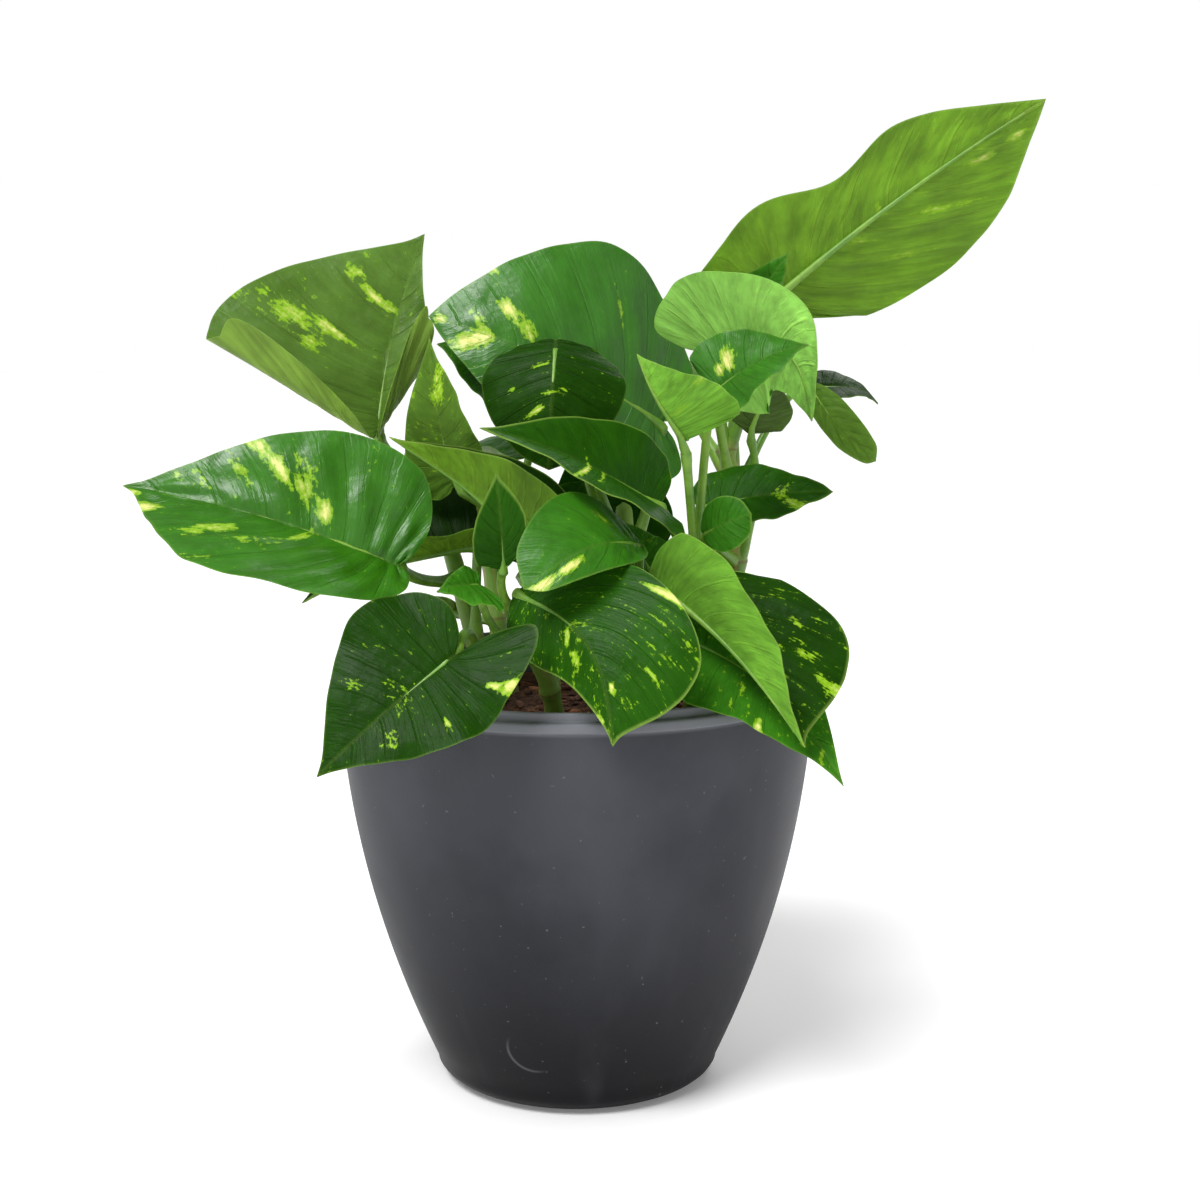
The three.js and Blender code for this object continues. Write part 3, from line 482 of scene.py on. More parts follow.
def blade_grid(leaf, rib):
    """The blade's middle surface as a grid of points, and each point's place on the leaf."""
    line, along, out_way, up_way, length = rib
    margin = outline(leaf)
    row = np.linspace(0, 1, BLADE_ROWS + 1)[:, None]
    signed = np.linspace(-1, 1, 2 * BLADE_COLUMNS + 1)[None, :]
    out = np.abs(signed) ** COLUMN_CROWDING
    left = signed < 0

    def pair(name):
        return np.where(left, leaf[name][0], leaf[name][1])

    edge_x = margin[:, :1]
    edge_y = margin[:, 1:]
    lobe = LOBE_REACH * pair("lobe") * (np.maximum(-edge_x, 0) / LOBE_REACH) ** leaf["square"]
    edge_x = np.maximum(edge_x, 0) - lobe + pair("shift") * edge_y / HALF_WIDTH
    waist = pair("waist") * np.exp(-(((edge_x - WAIST_PLACE) / WAIST_SPREAD) ** 2))
    reach = edge_y * leaf["width"] * pair("asym") * (1 - waist)
    x = mix(row**ROOT_CROWDING, edge_x, out**VEIN_SWEEP)
    y = reach * out
    crease = pair("slant") * edge_y * out / HALF_WIDTH
    inside = np.clip(np.maximum(x, crease), 0, 1)
    middle, ahead, right, up = (sample(rows, inside) for rows in (line, along, out_way, up_way))
    back = np.maximum(crease - x, 0) * length
    lift = math.radians(leaf["lift"])
    bent = np.minimum(back / LOBE_BEND_RADIUS, lift)
    straight = np.maximum(back - LOBE_BEND_RADIUS * lift, 0)
    behind = LOBE_BEND_RADIUS * np.sin(bent) + straight * math.cos(lift)
    raised = LOBE_BEND_RADIUS * (1 - np.cos(bent)) + straight * math.sin(lift)
    end = leaf["end"] or leaf["fold"]
    fold = np.radians(mix(pair("fold"), np.where(left, end[0], end[1]), inside))
    sideways = np.where(left, -1, 1) * y * np.cos(fold)
    above = raised + y * np.sin(fold)
    points = middle - ahead * behind[..., None] + up * above[..., None] + right * sideways[..., None]
    facts = {"vein": np.broadcast_to(row, x.shape), "out": np.sign(signed) * out + 0 * row,
             "inset": reach * (1 - out), "left": np.broadcast_to(left, x.shape), "reach": reach}
    return points, facts


def grid_normals(points):
    """The way the upper side looks at each grid point."""
    across = np.gradient(points, axis=1)
    down = np.gradient(points, axis=0)
    normal = np.cross(across, down)
    size = np.linalg.norm(normal, axis=-1, keepdims=True)
    normal = normal / np.maximum(size, 1e-9)
    middle = BLADE_COLUMNS
    normal[0] = normal[1, middle]
    normal[-1] = normal[-2, middle]
    return normal


def vein_phase(vein, left):
    """Counts side veins from the notch: whole numbers lie on a vein. The halves alternate."""
    return vein * VEIN_COUNT + np.where(left, 0.0, HALVES_OFFSET)


def relief(leaf, facts, seed):
    """How far each point of the blade stands above its plain middle surface."""
    vein, out = facts["vein"], np.abs(facts["out"])
    left = facts["left"]
    arch = np.abs(np.sin(np.pi * vein_phase(vein, left)))
    between = mix(arch**2, arch, leaf["sharp"]) - 0.55
    held = np.sin(np.pi * np.clip(out * 0.93 + 0.04, 0, 1)) ** 0.8 * np.sin(np.pi * vein) ** 0.35
    height = leaf["quilt"] * between * held
    height = height + 0.5 * leaf["quilt"] * held * np.sin(9 * out + 4 * vein + seed) * np.sin(23 * vein)
    side_turn = np.where(left, 0.0, 1.3)
    ends = np.sin(np.pi * vein) ** 0.8
    height = height + leaf["wave"] * out**2.5 * ends * np.sin(
        2 * np.pi * vein * WAVE_COUNT + side_turn + seed * 1.7)
    height = height + 0.35 * leaf["wave"] * out**4 * ends * np.sin(
        2 * np.pi * vein * WAVE_COUNT * 2.6 + seed * 2.9)
    height = height - np.where(left, leaf["curl"][0], leaf["curl"][1]) * out**5 * ends
    return height


def blade(parts, leaf, rib, seed):
    """Adds the blade's two skins to parts and returns the grid of its lower one."""
    points, facts = blade_grid(leaf, rib)
    normal = grid_normals(points)
    points = points + normal * relief(leaf, facts, seed)[..., None]
    normal = grid_normals(points)
    out = np.abs(facts["out"])
    half = mix(BLADE_THICKNESS, MARGIN_THICKNESS, out**4) / 2
    from_rib = out * np.maximum(facts["reach"], 0.2)
    tapering = 1 - facts["vein"]
    channel = CHANNEL_DEPTH * tapering * np.exp(-((from_rib / CHANNEL_WIDTH) ** 2)) * (facts["vein"] > 0)
    top = points + normal * (half - channel)[..., None]
    under = points - normal * half[..., None]
    marks = mark_amount(leaf, facts)
    values = {
        "vein": facts["vein"].ravel(),
        "out": facts["out"].ravel(),
        "phase": vein_phase(facts["vein"], facts["left"]).ravel(),
        "inset": facts["inset"].ravel(),
        "from_rib": from_rib.ravel(),
        "pale": marks.ravel(),
        "rim": leaf["pale_margin"],
        "seed": seed * SEED_STEP,
    }
    rows, columns = points.shape[:2]
    index = np.arange(rows * columns).reshape(rows, columns)
    index[0] = index[0, 0]
    index[-1] = index[-1, 0]
    a, b = index[:-1, :-1].ravel(), index[:-1, 1:].ravel()
    c, d = index[1:, 1:].ravel(), index[1:, :-1].ravel()
    quads = [tuple(dict.fromkeys(face)) for face in zip(a.tolist(), b.tolist(), c.tolist(), d.tolist())]
    lower = [tuple(reversed([corner + rows * columns for corner in face])) for face in quads]
    band = []
    for column, flip in ((0, False), (columns - 1, True)):
        edge = index[:, column].tolist()
        for here, there in zip(edge, edge[1:]):
            face = (here, there, there + rows * columns, here + rows * columns)
            band.append(tuple(reversed(face)) if flip else face)
    start = parts.count
    parts.add(top, quads, 0, **values, **skin_colour(LEAF_TOPS[leaf["top"]]))
    parts.add(under, [], 1, **values, **skin_colour(LEAF_UNDERS[leaf["under"]]))
    parts.faces += [tuple(start + corner for corner in face) for face in lower + band]
    parts.slots += [1] * len(lower) + [1] * len(band)
    return under


def mark_amount(leaf, facts):
    """How pale the blade is at each point: the all-over flecks and the leaf's own marks."""
    vein, out = facts["vein"], facts["out"]
    amount = np.full(vein.shape, float(leaf["flecks"]))
    for mark in leaf["marks"]:
        at_vein, at_out, along, across, strength = (value / 100 for value in mark)
        far = ((vein - at_vein) / across) ** 2 + ((out - at_out) / along) ** 2
        amount = np.maximum(amount, strength * np.exp(-far))
    return amount


# ---- stalks ----
def stalk(parts, leaf, rib, seed):
    """The leaf stalk from its vine to the blade, and on under the blade as the midrib."""
    vine = catmull_rom(VINES[leaf["vine"]], VINE_STEPS)
    at = leaf["along"] * VINE_STEPS
    root = sample(vine, np.array([leaf["along"]]))[0]
    grain = unit(vine[min(int(at) + 1, VINE_STEPS)] - vine[max(int(at) - 1, 0)])
    knee = np.array(leaf["knee"], float)
    line, _, _, up_way, length = rib
    base = line[0]
    lead = knee - root
    sideways = unit(lead - (lead @ grain) * grain)
    start = root + sideways * VINE_RADIUS * STALK_ROOT
    free = bezier(start, mix(start, knee, KNEE_PULL), mix(base, knee, KNEE_PULL), base,
                  np.linspace(0, 1, STALK_STEPS))
    radius = STALK_RADIUS * min(1.0, 0.62 + length / 220)
    t = np.linspace(0, 1, STALK_STEPS)
    swollen = 0.28 * np.exp(-(((t - 0.93) / 0.05) ** 2))
    sheath = 0.75 * np.exp(-((t / 0.14) ** 2))
    free_radii = radius * (1 + swollen + sheath)
    stations = np.linspace(0.03, STALK_END, STALK_STEPS)
    under_radii = radius * mix(*RIB_THICKNESS, stations**0.6)
    under = sample(line, stations) - sample(up_way, stations) * (under_radii * RIB_SINK)[:, None]
    path = np.vstack([free, under])
    path[STALK_STEPS - 2:STALK_STEPS + 2] = catmull_rom(path[STALK_STEPS - 3:STALK_STEPS + 3:5], 3)
    radii = np.concatenate([free_radii, under_radii])
    rings = tube(path[::-1], radii[::-1], STALK_SIDES, up_way[-1])
    share = np.concatenate([t, np.full(STALK_STEPS, 1.0)])[::-1]
    along = np.repeat(share, STALK_SIDES)
    tone = skin_colour(LEAF_UNDERS[leaf["under"]])
    parts.add(rings, tube_faces(len(path), STALK_SIDES), 2, vein=along, seed=seed * SEED_STEP, **tone)


def make_leaf(index, leaf, uppers, lower, stalk_skin):
    parts = MeshParts()
    rib = midrib(leaf)
    blade(parts, leaf, rib, index)
    stalk(parts, leaf, rib, index)
    piece = parts.build(leaf["name"] + "_living", [uppers[leaf["shine"]], lower, stalk_skin])
    return place(piece, "leaf", leaf["name"])


# ---- vines ----
def make_vine(name, materials):
    """A vine with swollen nodes where the stalks leave it and a soft closed tip."""
    path = catmull_rom(VINES[name], VINE_STEPS)
    share = np.linspace(0, 1, VINE_STEPS + 1)
    radii = np.full(len(share), VINE_RADIUS) * mix(*VINE_TAPER, share)
    node_at = np.zeros(len(share))
    for row in LEAVES:
        if row["vine"] == name:
            near = np.exp(-(((share - row["along"]) / NODE_SPREAD) ** 2))
            radii = radii + NODE_SWELL * near
            node_at = np.maximum(node_at, near)
    radii = radii * (1 + 0.03 * np.sin(share * 37 + len(name)))
    last = np.clip((share - 1) / VINE_CLOSING + 1, 0, 1)
    closing = np.sqrt(1 - last**2)
    radii = radii * np.maximum(closing, 0.12)
    rings = tube(path, radii, VINE_SIDES, np.array([1.0, 0.0, 0.0]))
    parts = MeshParts()
    around = np.tile(np.linspace(0, 1, VINE_SIDES, endpoint=False), len(path))
    parts.add(rings, tube_faces(len(path), VINE_SIDES), 0, vein=np.repeat(share, VINE_SIDES),
              node=np.repeat(node_at, VINE_SIDES), out=around, seed=len(name))
    piece = parts.build(name + "_living", materials)
    return place(piece, "stem", name)


# ---- pot ----
def wall_point(t):
    r = (1 - t) ** 2 * HEEL_RADIUS + 2 * t * (1 - t) * BELLY_RADIUS + t * t * RIM_RADIUS
    z = (1 - t) ** 2 * HEEL_HEIGHT + 2 * t * (1 - t) * BELLY_HEIGHT + t * t * WALL_TOP
    return r, z


def arc(centre, radius, start, stop, steps):
    """Points of a rounded edge. Angles are in degrees, from +r towards +z."""
    angles = [math.radians(mix(start, stop, step / steps)) for step in range(steps + 1)]
    return [(centre[0] + radius * math.cos(a), centre[1] + radius * math.sin(a)) for a in angles]


def pot_profile():
    bead_top = WALL_TOP + BEAD_HEIGHT
    lip_top = bead_top + COLLAR_HEIGHT
    bead = RIM_RADIUS + BEAD_PROUD
    lip_outer = RIM_RADIUS - COLLAR_INSET
    lip_inner = RIM_RADIUS - WALL_THICKNESS - COLLAR_INSET / 2
    heel = []
    for step in range(7):
        angle = step / 6 * math.pi / 2
        r = FOOT_RADIUS + (HEEL_RADIUS - FOOT_RADIUS) * math.sin(angle)
        heel.append((r, HEEL_HEIGHT * (1 - math.cos(angle))))
    wall = [wall_point(step / 30) for step in range(1, 31)]
    rim = [(RIM_RADIUS + 0.05, WALL_TOP + 0.3)]
    corner, edge, lip = CORNER_ROUNDING, BEAD_ROUNDING, LIP_ROUNDING
    rim += arc((bead - corner, WALL_TOP + edge), corner, -80, 0, 4)
    rim += arc((bead - edge, bead_top - edge), edge, 0, 90, 5)
    rim += arc((lip_outer + corner, bead_top + corner), corner, 270, 180, 4)
    rim += arc((lip_outer - lip, lip_top - lip), lip, 0, 90, 4)
    rim += arc((lip_inner + lip, lip_top - lip), lip, 90, 180, 4)
    inner = [wall_point(1 - step / 16 * 0.94) for step in range(17)]
    inner = [(r - WALL_THICKNESS, z) for r, z in inner]
    floor = [(FOOT_RADIUS + 2, FLOOR_THICKNESS), (0, FLOOR_THICKNESS)]
    return [(0, 0), (FOOT_RADIUS * 0.5, 0), *heel, *wall, *rim, *inner, *floor]


def lathe(parts, profile, segments):
    """Turns a profile that starts and ends on the axis into a closed surface."""
    middle = profile[1:-1]
    turn = np.linspace(0, 2 * np.pi, segments, endpoint=False)
    rings = [[(r * math.cos(a), r * math.sin(a), z) for a in turn] for r, z in middle]
    points = np.array(rings).reshape(-1, 3)
    points = np.vstack([points, (0, 0, profile[0][1]), (0, 0, profile[-1][1])])
    first, last = len(points) - 2, len(points) - 1
    faces = ring_quads(len(middle), segments)
    top = (len(middle) - 1) * segments
    for side in range(segments):
        after = (side + 1) % segments
        faces.append((first, after, side))
        faces.append((top + side, top + after, last))
    parts.add(points, faces)


def cut_drain_holes(pot):
    """Bores the drain holes through the pot's floor."""
    parts = MeshParts()
    for hole in range(DRAIN_HOLES):
        angle = 2 * math.pi * hole / DRAIN_HOLES
        x, y = DRAIN_CIRCLE * math.cos(angle), DRAIN_CIRCLE * math.sin(angle)
        path = np.array([(x, y, -3.0), (x, y, 8.0)])
        rings = tube(path, [DRAIN_RADIUS] * 2, 32, np.array([1.0, 0.0, 0.0]))
        parts.add(rings, tube_faces(2, 32))
    cutter = parts.build("drain_cutter", [])
    bore = pot.modifiers.new("drain", "BOOLEAN")
    bore.operation = "DIFFERENCE"
    bore.solver = "EXACT"
    bore.object = cutter
    bpy.context.view_layer.update()
    cut = bpy.data.meshes.new_from_object(pot.evaluated_get(bpy.context.evaluated_depsgraph_get()))
    pot.modifiers.clear()
    pot.data = cut
    bpy.data.objects.remove(cutter)


def make_pot():
    parts = MeshParts()
    lathe(parts, pot_profile(), POT_SEGMENTS)
    pot = parts.build("pot_moulded", [pot_material()], sharp_degrees=35)
    cut_drain_holes(pot)
    return place(pot, "pot", "pot")


# ---- soil ----
def soil_height(r):
    """Height of the soil's plain surface at distance r from the pot's axis."""
    return mix(SOIL_CROWN_HEIGHT, SOIL_EDGE_HEIGHT, np.clip(r / SOIL_RADIUS, 0, 1) ** 2)


def make_soil(materials):
    """The soil: its sides follow the pot's inside, and its top is lumpy."""
    side = [wall_point(t) for t in (0.06, 0.25, 0.5, 0.75)]
    edge = wall_point(0.9)[0] - WALL_THICKNESS - 0.7
    foot = FLOOR_THICKNESS + SOIL_GAP
    profile = [(0, foot), (FOOT_RADIUS + 1.5, foot)]
    profile += [(r - WALL_THICKNESS - SOIL_GAP, z) for r, z in side]
    profile += [(edge * (1 - step / 40), soil_height(edge * (1 - step / 40))) for step in range(40)]
    profile.append((0, SOIL_CROWN_HEIGHT))
    parts = MeshParts()
    lathe(parts, profile, 96)
    points = parts.points[0]
    x, y, z = points.T
    top = smooth_step(110, 117, z)
    lumps = np.sin(x * 0.31 + 1.0) * np.sin(y * 0.27 + 2.0) + 0.6 * np.sin(x * 0.83 + y * 0.61)
    lumps = lumps + 0.5 * np.sin(x * 1.7 - y * 1.3 + 0.5) * np.sin(y * 1.9 + 0.2)
    points[:, 2] += top * 0.55 * lumps
    soil = parts.build("soil_mix", materials)
    return place(soil, "soil", "soil")


def bark_chip(rng):
    """Corners and faces of one flat, rough-edged chip of bark about its own centre."""
    sides = rng.randint(5, 7)
    length, width = rng.uniform(3.0, 8.5), rng.uniform(1.6, 3.6)
    thick = rng.uniform(0.6, 1.5)
    angles = [2 * math.pi * (side + rng.uniform(-0.3, 0.3)) / sides for side in range(sides)]
    ring = [(length / 2 * math.cos(a), width / 2 * math.sin(a)) for a in angles]
    levels = ((-0.5, 0.8), (-0.15, 1.0), (0.3, 0.95), (0.5, 0.72))
    corners = []
    for level, size in levels:
        for x, y in ring:
            lift = rng.uniform(-0.12, 0.12)
            corners.append((x * size, y * size, (level + lift) * thick + 0.04 * x))
    return np.array(corners), tube_faces(len(levels), sides)


def make_chips(materials):
    """Bark chips scattered over the soil, none standing in a vine."""
    rng = random.Random(20)
    roots = [np.array(catmull_rom(path, 20)) for path in VINES.values()]
    parts = MeshParts()
    while parts.count < CHIP_COUNT * CHIP_CORNERS:
        r = CHIP_REACH * math.sqrt(rng.random())
        turn = rng.uniform(0, 2 * math.pi)
        corners, faces = bark_chip(rng)
        yaw, tilt = rng.uniform(0, 2 * math.pi), rng.uniform(-0.5, 0.5)
        c, s = math.cos(yaw), math.sin(yaw)
        ct, st = math.cos(tilt), math.sin(tilt)
        spin = np.array([[c, -s * ct, s * st], [s, c * ct, -c * st], [0, st, ct]])
        spot = np.array([r * math.cos(turn), r * math.sin(turn), soil_height(r) + rng.uniform(-0.3, 1.3)])
        shade = rng.random()
        if min(np.linalg.norm(path - spot, axis=1).min() for path in roots) < CHIP_TO_VINE:
            continue
        parts.add(corners @ spin.T + spot, faces, 0, seed=shade)
    chips = parts.build("bark_chips", materials, sharp_degrees=25)
    return place(chips, "soil")


# ---- materials ----
class Shader:
    """A material's node tree, with one short call for each kind of node it uses."""

    def __init__(self, name, roughness, specular=0.5):
        self.material = bpy.data.materials.new(name)
        self.material.use_nodes = True
        self.tree = self.material.node_tree
        self.surface = self.tree.nodes["Principled BSDF"]
        self.surface.inputs["Roughness"].default_value = roughness
        self.surface.inputs["Specular IOR Level"].default_value = specular

    def put(self, socket, value):
        """Links another node's output to the socket, or sets it to a plain value."""
        if isinstance(value, bpy.types.NodeSocket):
            self.tree.links.new(value, socket)
        else:
            socket.default_value = value

    def node(self, kind, *values, **settings):
        """Adds a node with these settings, and puts values on its first inputs."""
        node = self.tree.nodes.new(kind)
        for name, setting in settings.items():
            setattr(node, name, setting)
        for socket, value in zip(node.inputs, values):
            self.put(socket, value)
        return node

    def put_all(self, node, **values):
        """Puts values on the inputs that they are named after."""
        for name, value in values.items():
            if value is not None:
                self.put(node.inputs[name.replace("_", " ")], value)

    def attribute(self, name):
        return self.node("ShaderNodeAttribute", attribute_name=name).outputs["Fac"]

    def math(self, operation, *values):
        return self.node("ShaderNodeMath", *values, operation=operation).outputs[0]

    def times(self, value, factor, plus=0.0, clamp=False):
        """value times factor, plus the rest."""
        settings = {"operation": "MULTIPLY_ADD", "use_clamp": clamp}
        return self.node("ShaderNodeMath", value, factor, plus, **settings).outputs[0]

    def place(self):
        return self.node("ShaderNodeTexCoord").outputs["Object"]

    def axes(self):
        """X, Y and Z of each point, in metres from the middle of the pot's underside."""
        return self.node("ShaderNodeSeparateXYZ", self.place()).outputs

    def vector(self, *values):
        return self.node("ShaderNodeCombineXYZ", *values).outputs[0]

    def colour(self, *values):
        return self.node("ShaderNodeCombineColor", *values).outputs[0]

    def noise(self, scale, detail=3.0, roughness=0.55, over=None):
        """Noise with this many cells per metre, or per unit of the vector that it is laid over."""
        if over is None:
            over = self.place()
        node = self.node("ShaderNodeTexNoise", over)
        self.put_all(node, Scale=scale, Detail=detail, Roughness=roughness)
        return node.outputs["Fac"]

    def stretch(self, vector, scale):
        node = self.node("ShaderNodeMapping", vector)
        node.inputs["Scale"].default_value = scale
        return node.outputs["Vector"]

    def remap(self, value, low, high, to_low=0.0, to_high=1.0):
        """Takes low to to_low and high to to_high, with a smooth change between them."""
        node = self.node("ShaderNodeMapRange", value, low, high, to_low, to_high)
        node.interpolation_type = "SMOOTHSTEP"
        return node.outputs["Result"]

    def blend(self, amount, a, b, kind="MIX"):
        node = self.node("ShaderNodeMix", amount, data_type="RGBA", blend_type=kind)
        self.put(node.inputs[6], a)
        self.put(node.inputs[7], b)
        return node.outputs[2]

    def bump(self, height, distance, strength, below=None):
        node = self.node("ShaderNodeBump")
        self.put_all(node, Height=height, Distance=distance, Strength=strength, Normal=below)
        return node.outputs["Normal"]

    def finish(self, colour, roughness=None, normal=None):
        self.put_all(self.surface, Base_Color=colour, Roughness=roughness, Normal=normal)
        return self.material


def vein_lines(shader, phase, count, width):
    """1 on the lines that divide phase into count parts, falling to 0 within width."""
    position = shader.math("FRACT", shader.times(phase, count))
    distance = shader.math("ABSOLUTE", shader.math("SUBTRACT", position, 0.5))
    return shader.remap(distance, 0.5 - width, 0.5)


# Leaf colours, red, green and blue as on screen. The darkest upper colour and the shade lower colour are
# painted shade, for leaves that sit deep inside the plant.
LEAF_TOPS = {
    "in_shade": (20, 46, 5),
    "deep": (25, 60, 4),
    "dark": (33, 78, 8),
    "mid": (50, 108, 20),
    "bright": (46, 106, 6),
    "moss": (76, 110, 34),
}
LEAF_UNDERS = {
    "shade": (70, 96, 34),
    "moss": (110, 142, 52),
    "olive": (96, 136, 30),
    "light": (108, 164, 50),
    "cap": (144, 202, 90),
}
BROAD_STREAKS = (34.0, 2.6)     # noise cells from the notch to the tip, and from the midrib outwards
FINE_STREAKS = (95.0, 9.0)
MIDDLE = (0.3, 0.7)             # the range that noise mostly keeps to
LEAF_GRAINS = ((160.0, 0.0009), (1500.0, 0.00004))  # dents and pores: cells per metre, depth in metres
LIME = srgb(128, 172, 30)
CREAM = srgb(222, 220, 132)
MARGIN = srgb(140, 170, 74)
LEAF_SHINE = {"matt": 0.05, "satin": 0.18, "glossy": 0.38}  # specular level of the upper side


def leaf_shader(name, roughness, specular, upper):
    """One side of the leaves: its own colour with side veins, lime and cream patches where the noise and
    the leaf's pale value add up to enough, a pale margin and fine relief."""
    shader = Shader(name, roughness, specular)
    vein = shader.attribute("vein")
    out = shader.attribute("out")
    seed = shader.attribute("seed")
    phase = shader.attribute("phase")
    base = shader.colour(shader.attribute("red"), shader.attribute("green"), shader.attribute("blue"))
    streak, fine = (shader.vector(shader.times(vein, along), shader.times(out, across), seed)
                    for along, across in (BROAD_STREAKS, FINE_STREAKS))
    broad_noise = shader.noise(1.0, 4.0, 0.6, over=streak)
    fine_noise = shader.noise(1.0, 3.0, 0.6, over=fine)
    patch_noise = shader.noise(70.0)

    tone = shader.remap(patch_noise, *MIDDLE, 0.88, 1.12)
    spread = 0.12 if upper else 0.2
    tone = shader.times(tone, shader.remap(broad_noise, *MIDDLE, 1 - spread, 1 + spread))
    grey = shader.colour(tone, tone, tone)
    colour = shader.blend(1.0, base, grey, "MULTIPLY")

    bent = shader.times(broad_noise, 0.12, phase)
    main = vein_lines(shader, bent, 1.0, 0.035 if upper else 0.05)
    side = vein_lines(shader, shader.times(broad_noise, 0.35, phase), 3.0, 0.1)
    before_margin = shader.remap(shader.math("ABSOLUTE", out), 0.75, 0.98, 1.0, 0.0)
    main = shader.times(main, before_margin)
    lighter = shader.blend(1.0, colour, (1.5, 1.35, 1.3, 1.0), "MULTIPLY")
    colour = shader.blend(shader.times(main, 0.18 if upper else 0.4), colour, lighter)
    colour = shader.blend(shader.times(side, 0.1), colour, lighter)
    rib = shader.remap(shader.attribute("from_rib"), 0.1, 0.9, 1.0, 0.0)
    colour = shader.blend(shader.times(rib, 0.07 if upper else 0.4), colour, MARGIN)

    speckle = shader.noise(560.0, roughness=0.65)
    level = shader.times(broad_noise, 0.5, -1.1)
    level = shader.times(fine_noise, 0.6, level)
    level = shader.times(speckle, 0.6, level)
    level = shader.times(shader.attribute("pale"), 0.8, level)
    patch = shader.times(level, 10.0, clamp=True)
    core = shader.times(level, 3.2, -0.5, clamp=True)
    pale = shader.blend(core, LIME, CREAM)
    if not upper:
        patch = shader.times(patch, 0.6)
    colour = shader.blend(patch, colour, pale)

    edge = shader.remap(shader.attribute("inset"), 0.05, 0.5, 1.0, 0.0)
    edge = shader.times(edge, shader.attribute("rim"))
    colour = shader.blend(edge, colour, MARGIN)

    rough = shader.remap(patch_noise, *MIDDLE, roughness - 0.05, roughness + 0.08)
    height = shader.times(main, -1.0 if upper else 1.0)
    height = shader.times(side, -0.2 if upper else 0.35, height)
    height = shader.times(fine_noise, 0.25, height)
    normal = shader.bump(height, 0.0003 if upper else 0.0004, 0.7)
    threads = vein_lines(shader, shader.times(broad_noise, 0.2, phase), 8.0, 0.3)
    normal = shader.bump(threads, 0.00005, 0.4, normal)
    for scale, depth in LEAF_GRAINS:
        normal = shader.bump(shader.noise(scale, detail=2.0), depth, 0.5, normal)
    material = shader.finish(colour, rough, normal)
    skin = shader.surface
    skin.inputs["Subsurface Weight"].default_value = 0.12
    skin.inputs["Subsurface Radius"].default_value = (0.3, 1.0, 0.12)
    skin.inputs["Subsurface Scale"].default_value = 0.0012
    return material


def stalk_material():
    """Leaf stalks: pale green with fine lengthwise fibres, browner where they leave the vine."""
    shader = Shader("leaf_stalk_skin", 0.42)
    share = shader.attribute("vein")
    fibres = shader.noise(420.0)
    broad = shader.noise(60.0, detail=2.0)
    colour = shader.blend(shader.remap(broad, 0.35, 0.65), srgb(92, 138, 36), srgb(120, 162, 52))
    colour = shader.blend(shader.remap(fibres, 0.45, 0.7, 0.0, 0.4), colour, srgb(70, 112, 28))
    low = shader.remap(share, 0.0, 0.08, 0.5, 0.0)
    colour = shader.blend(low, colour, srgb(134, 118, 66))
    normal = shader.bump(fibres, 0.00015, 0.5)
    return shader.finish(colour, shader.remap(broad, *MIDDLE, 0.36, 0.5), normal)


def vine_material():
    """Vines: green with tan streaks along them, and a brown scar ring at each node."""
    shader = Shader("vine_skin", 0.45)
    around = shader.attribute("out")
    share = shader.attribute("vein")
    node_at = shader.attribute("node")
    seed = shader.attribute("seed")
    along = shader.vector(shader.times(around, 9.0), shader.times(share, 2.0), seed)
    lines = shader.noise(1.0, over=along)
    broad = shader.noise(45.0)
    colour = shader.blend(shader.remap(broad, 0.35, 0.65), srgb(88, 130, 38), srgb(116, 152, 54))
    colour = shader.blend(shader.remap(lines, 0.5, 0.68, 0.0, 0.7), colour, srgb(158, 132, 80))
    low = shader.remap(share, 0.1, 0.45, 0.7, 0.0)
    colour = shader.blend(low, colour, srgb(112, 98, 58))
    colour = shader.blend(shader.remap(node_at, 0.75, 1.0, 0.0, 0.75), colour, srgb(108, 82, 46))
    height = shader.times(lines, 1.0, shader.noise(600.0))
    normal = shader.bump(height, 0.0003, 0.5)
    return shader.finish(colour, shader.remap(broad, *MIDDLE, 0.4, 0.6), normal)


def pot_material():
    """Matt charcoal plastic: fine moulded grain, dusty clouds, small pale specks and scuffs, painted shade
    that darkens it towards the bottom and a painted highlight that pales the bead.
    """
    shader = Shader("pot_plastic", 0.55, specular=0.12)
    clouds = shader.noise(18.0, detail=4.0)
    streaks = shader.noise(1.0, over=shader.stretch(shader.place(), STREAKING))
    height = shader.axes()["Z"]
    specks = shader.noise(620.0, detail=1.0)
    grain = shader.noise(2600.0, detail=2.0)
    colour = shader.blend(shader.remap(clouds, 0.35, 0.65), srgb(56, 57, 63), srgb(69, 70, 76))
    # painted shade: the pot darkens towards the bottom
    colour = shader.blend(shader.remap(height, 0.0, POT_PAINTED_SHADE_TOP, 0.95, 0.0), colour, srgb(8, 8, 11))
    # painted highlight: the bead turns paler, as if it caught light from above
    bead_painted_highlight = shader.remap(height, *BEAD_PAINTED_HIGHLIGHT, 0.0, 0.75)
    colour = shader.blend(bead_painted_highlight, colour, srgb(126, 128, 134))
    colour = shader.blend(shader.remap(streaks, 0.5, 0.75, 0.0, 0.2), colour, srgb(72, 73, 80))
    colour = shader.blend(shader.remap(specks, 0.74, 0.8, 0.0, 0.3), colour, srgb(130, 130, 134))
    colour = shader.blend(shader.times(scuff(shader), 0.35), colour, srgb(120, 120, 124))
    rough = shader.remap(clouds, *MIDDLE, 0.42, 0.58)
    normal = shader.bump(grain, 0.00006, 0.6)
    normal = shader.bump(clouds, 0.0004, 0.25, normal)
    return shader.finish(colour, rough, normal)


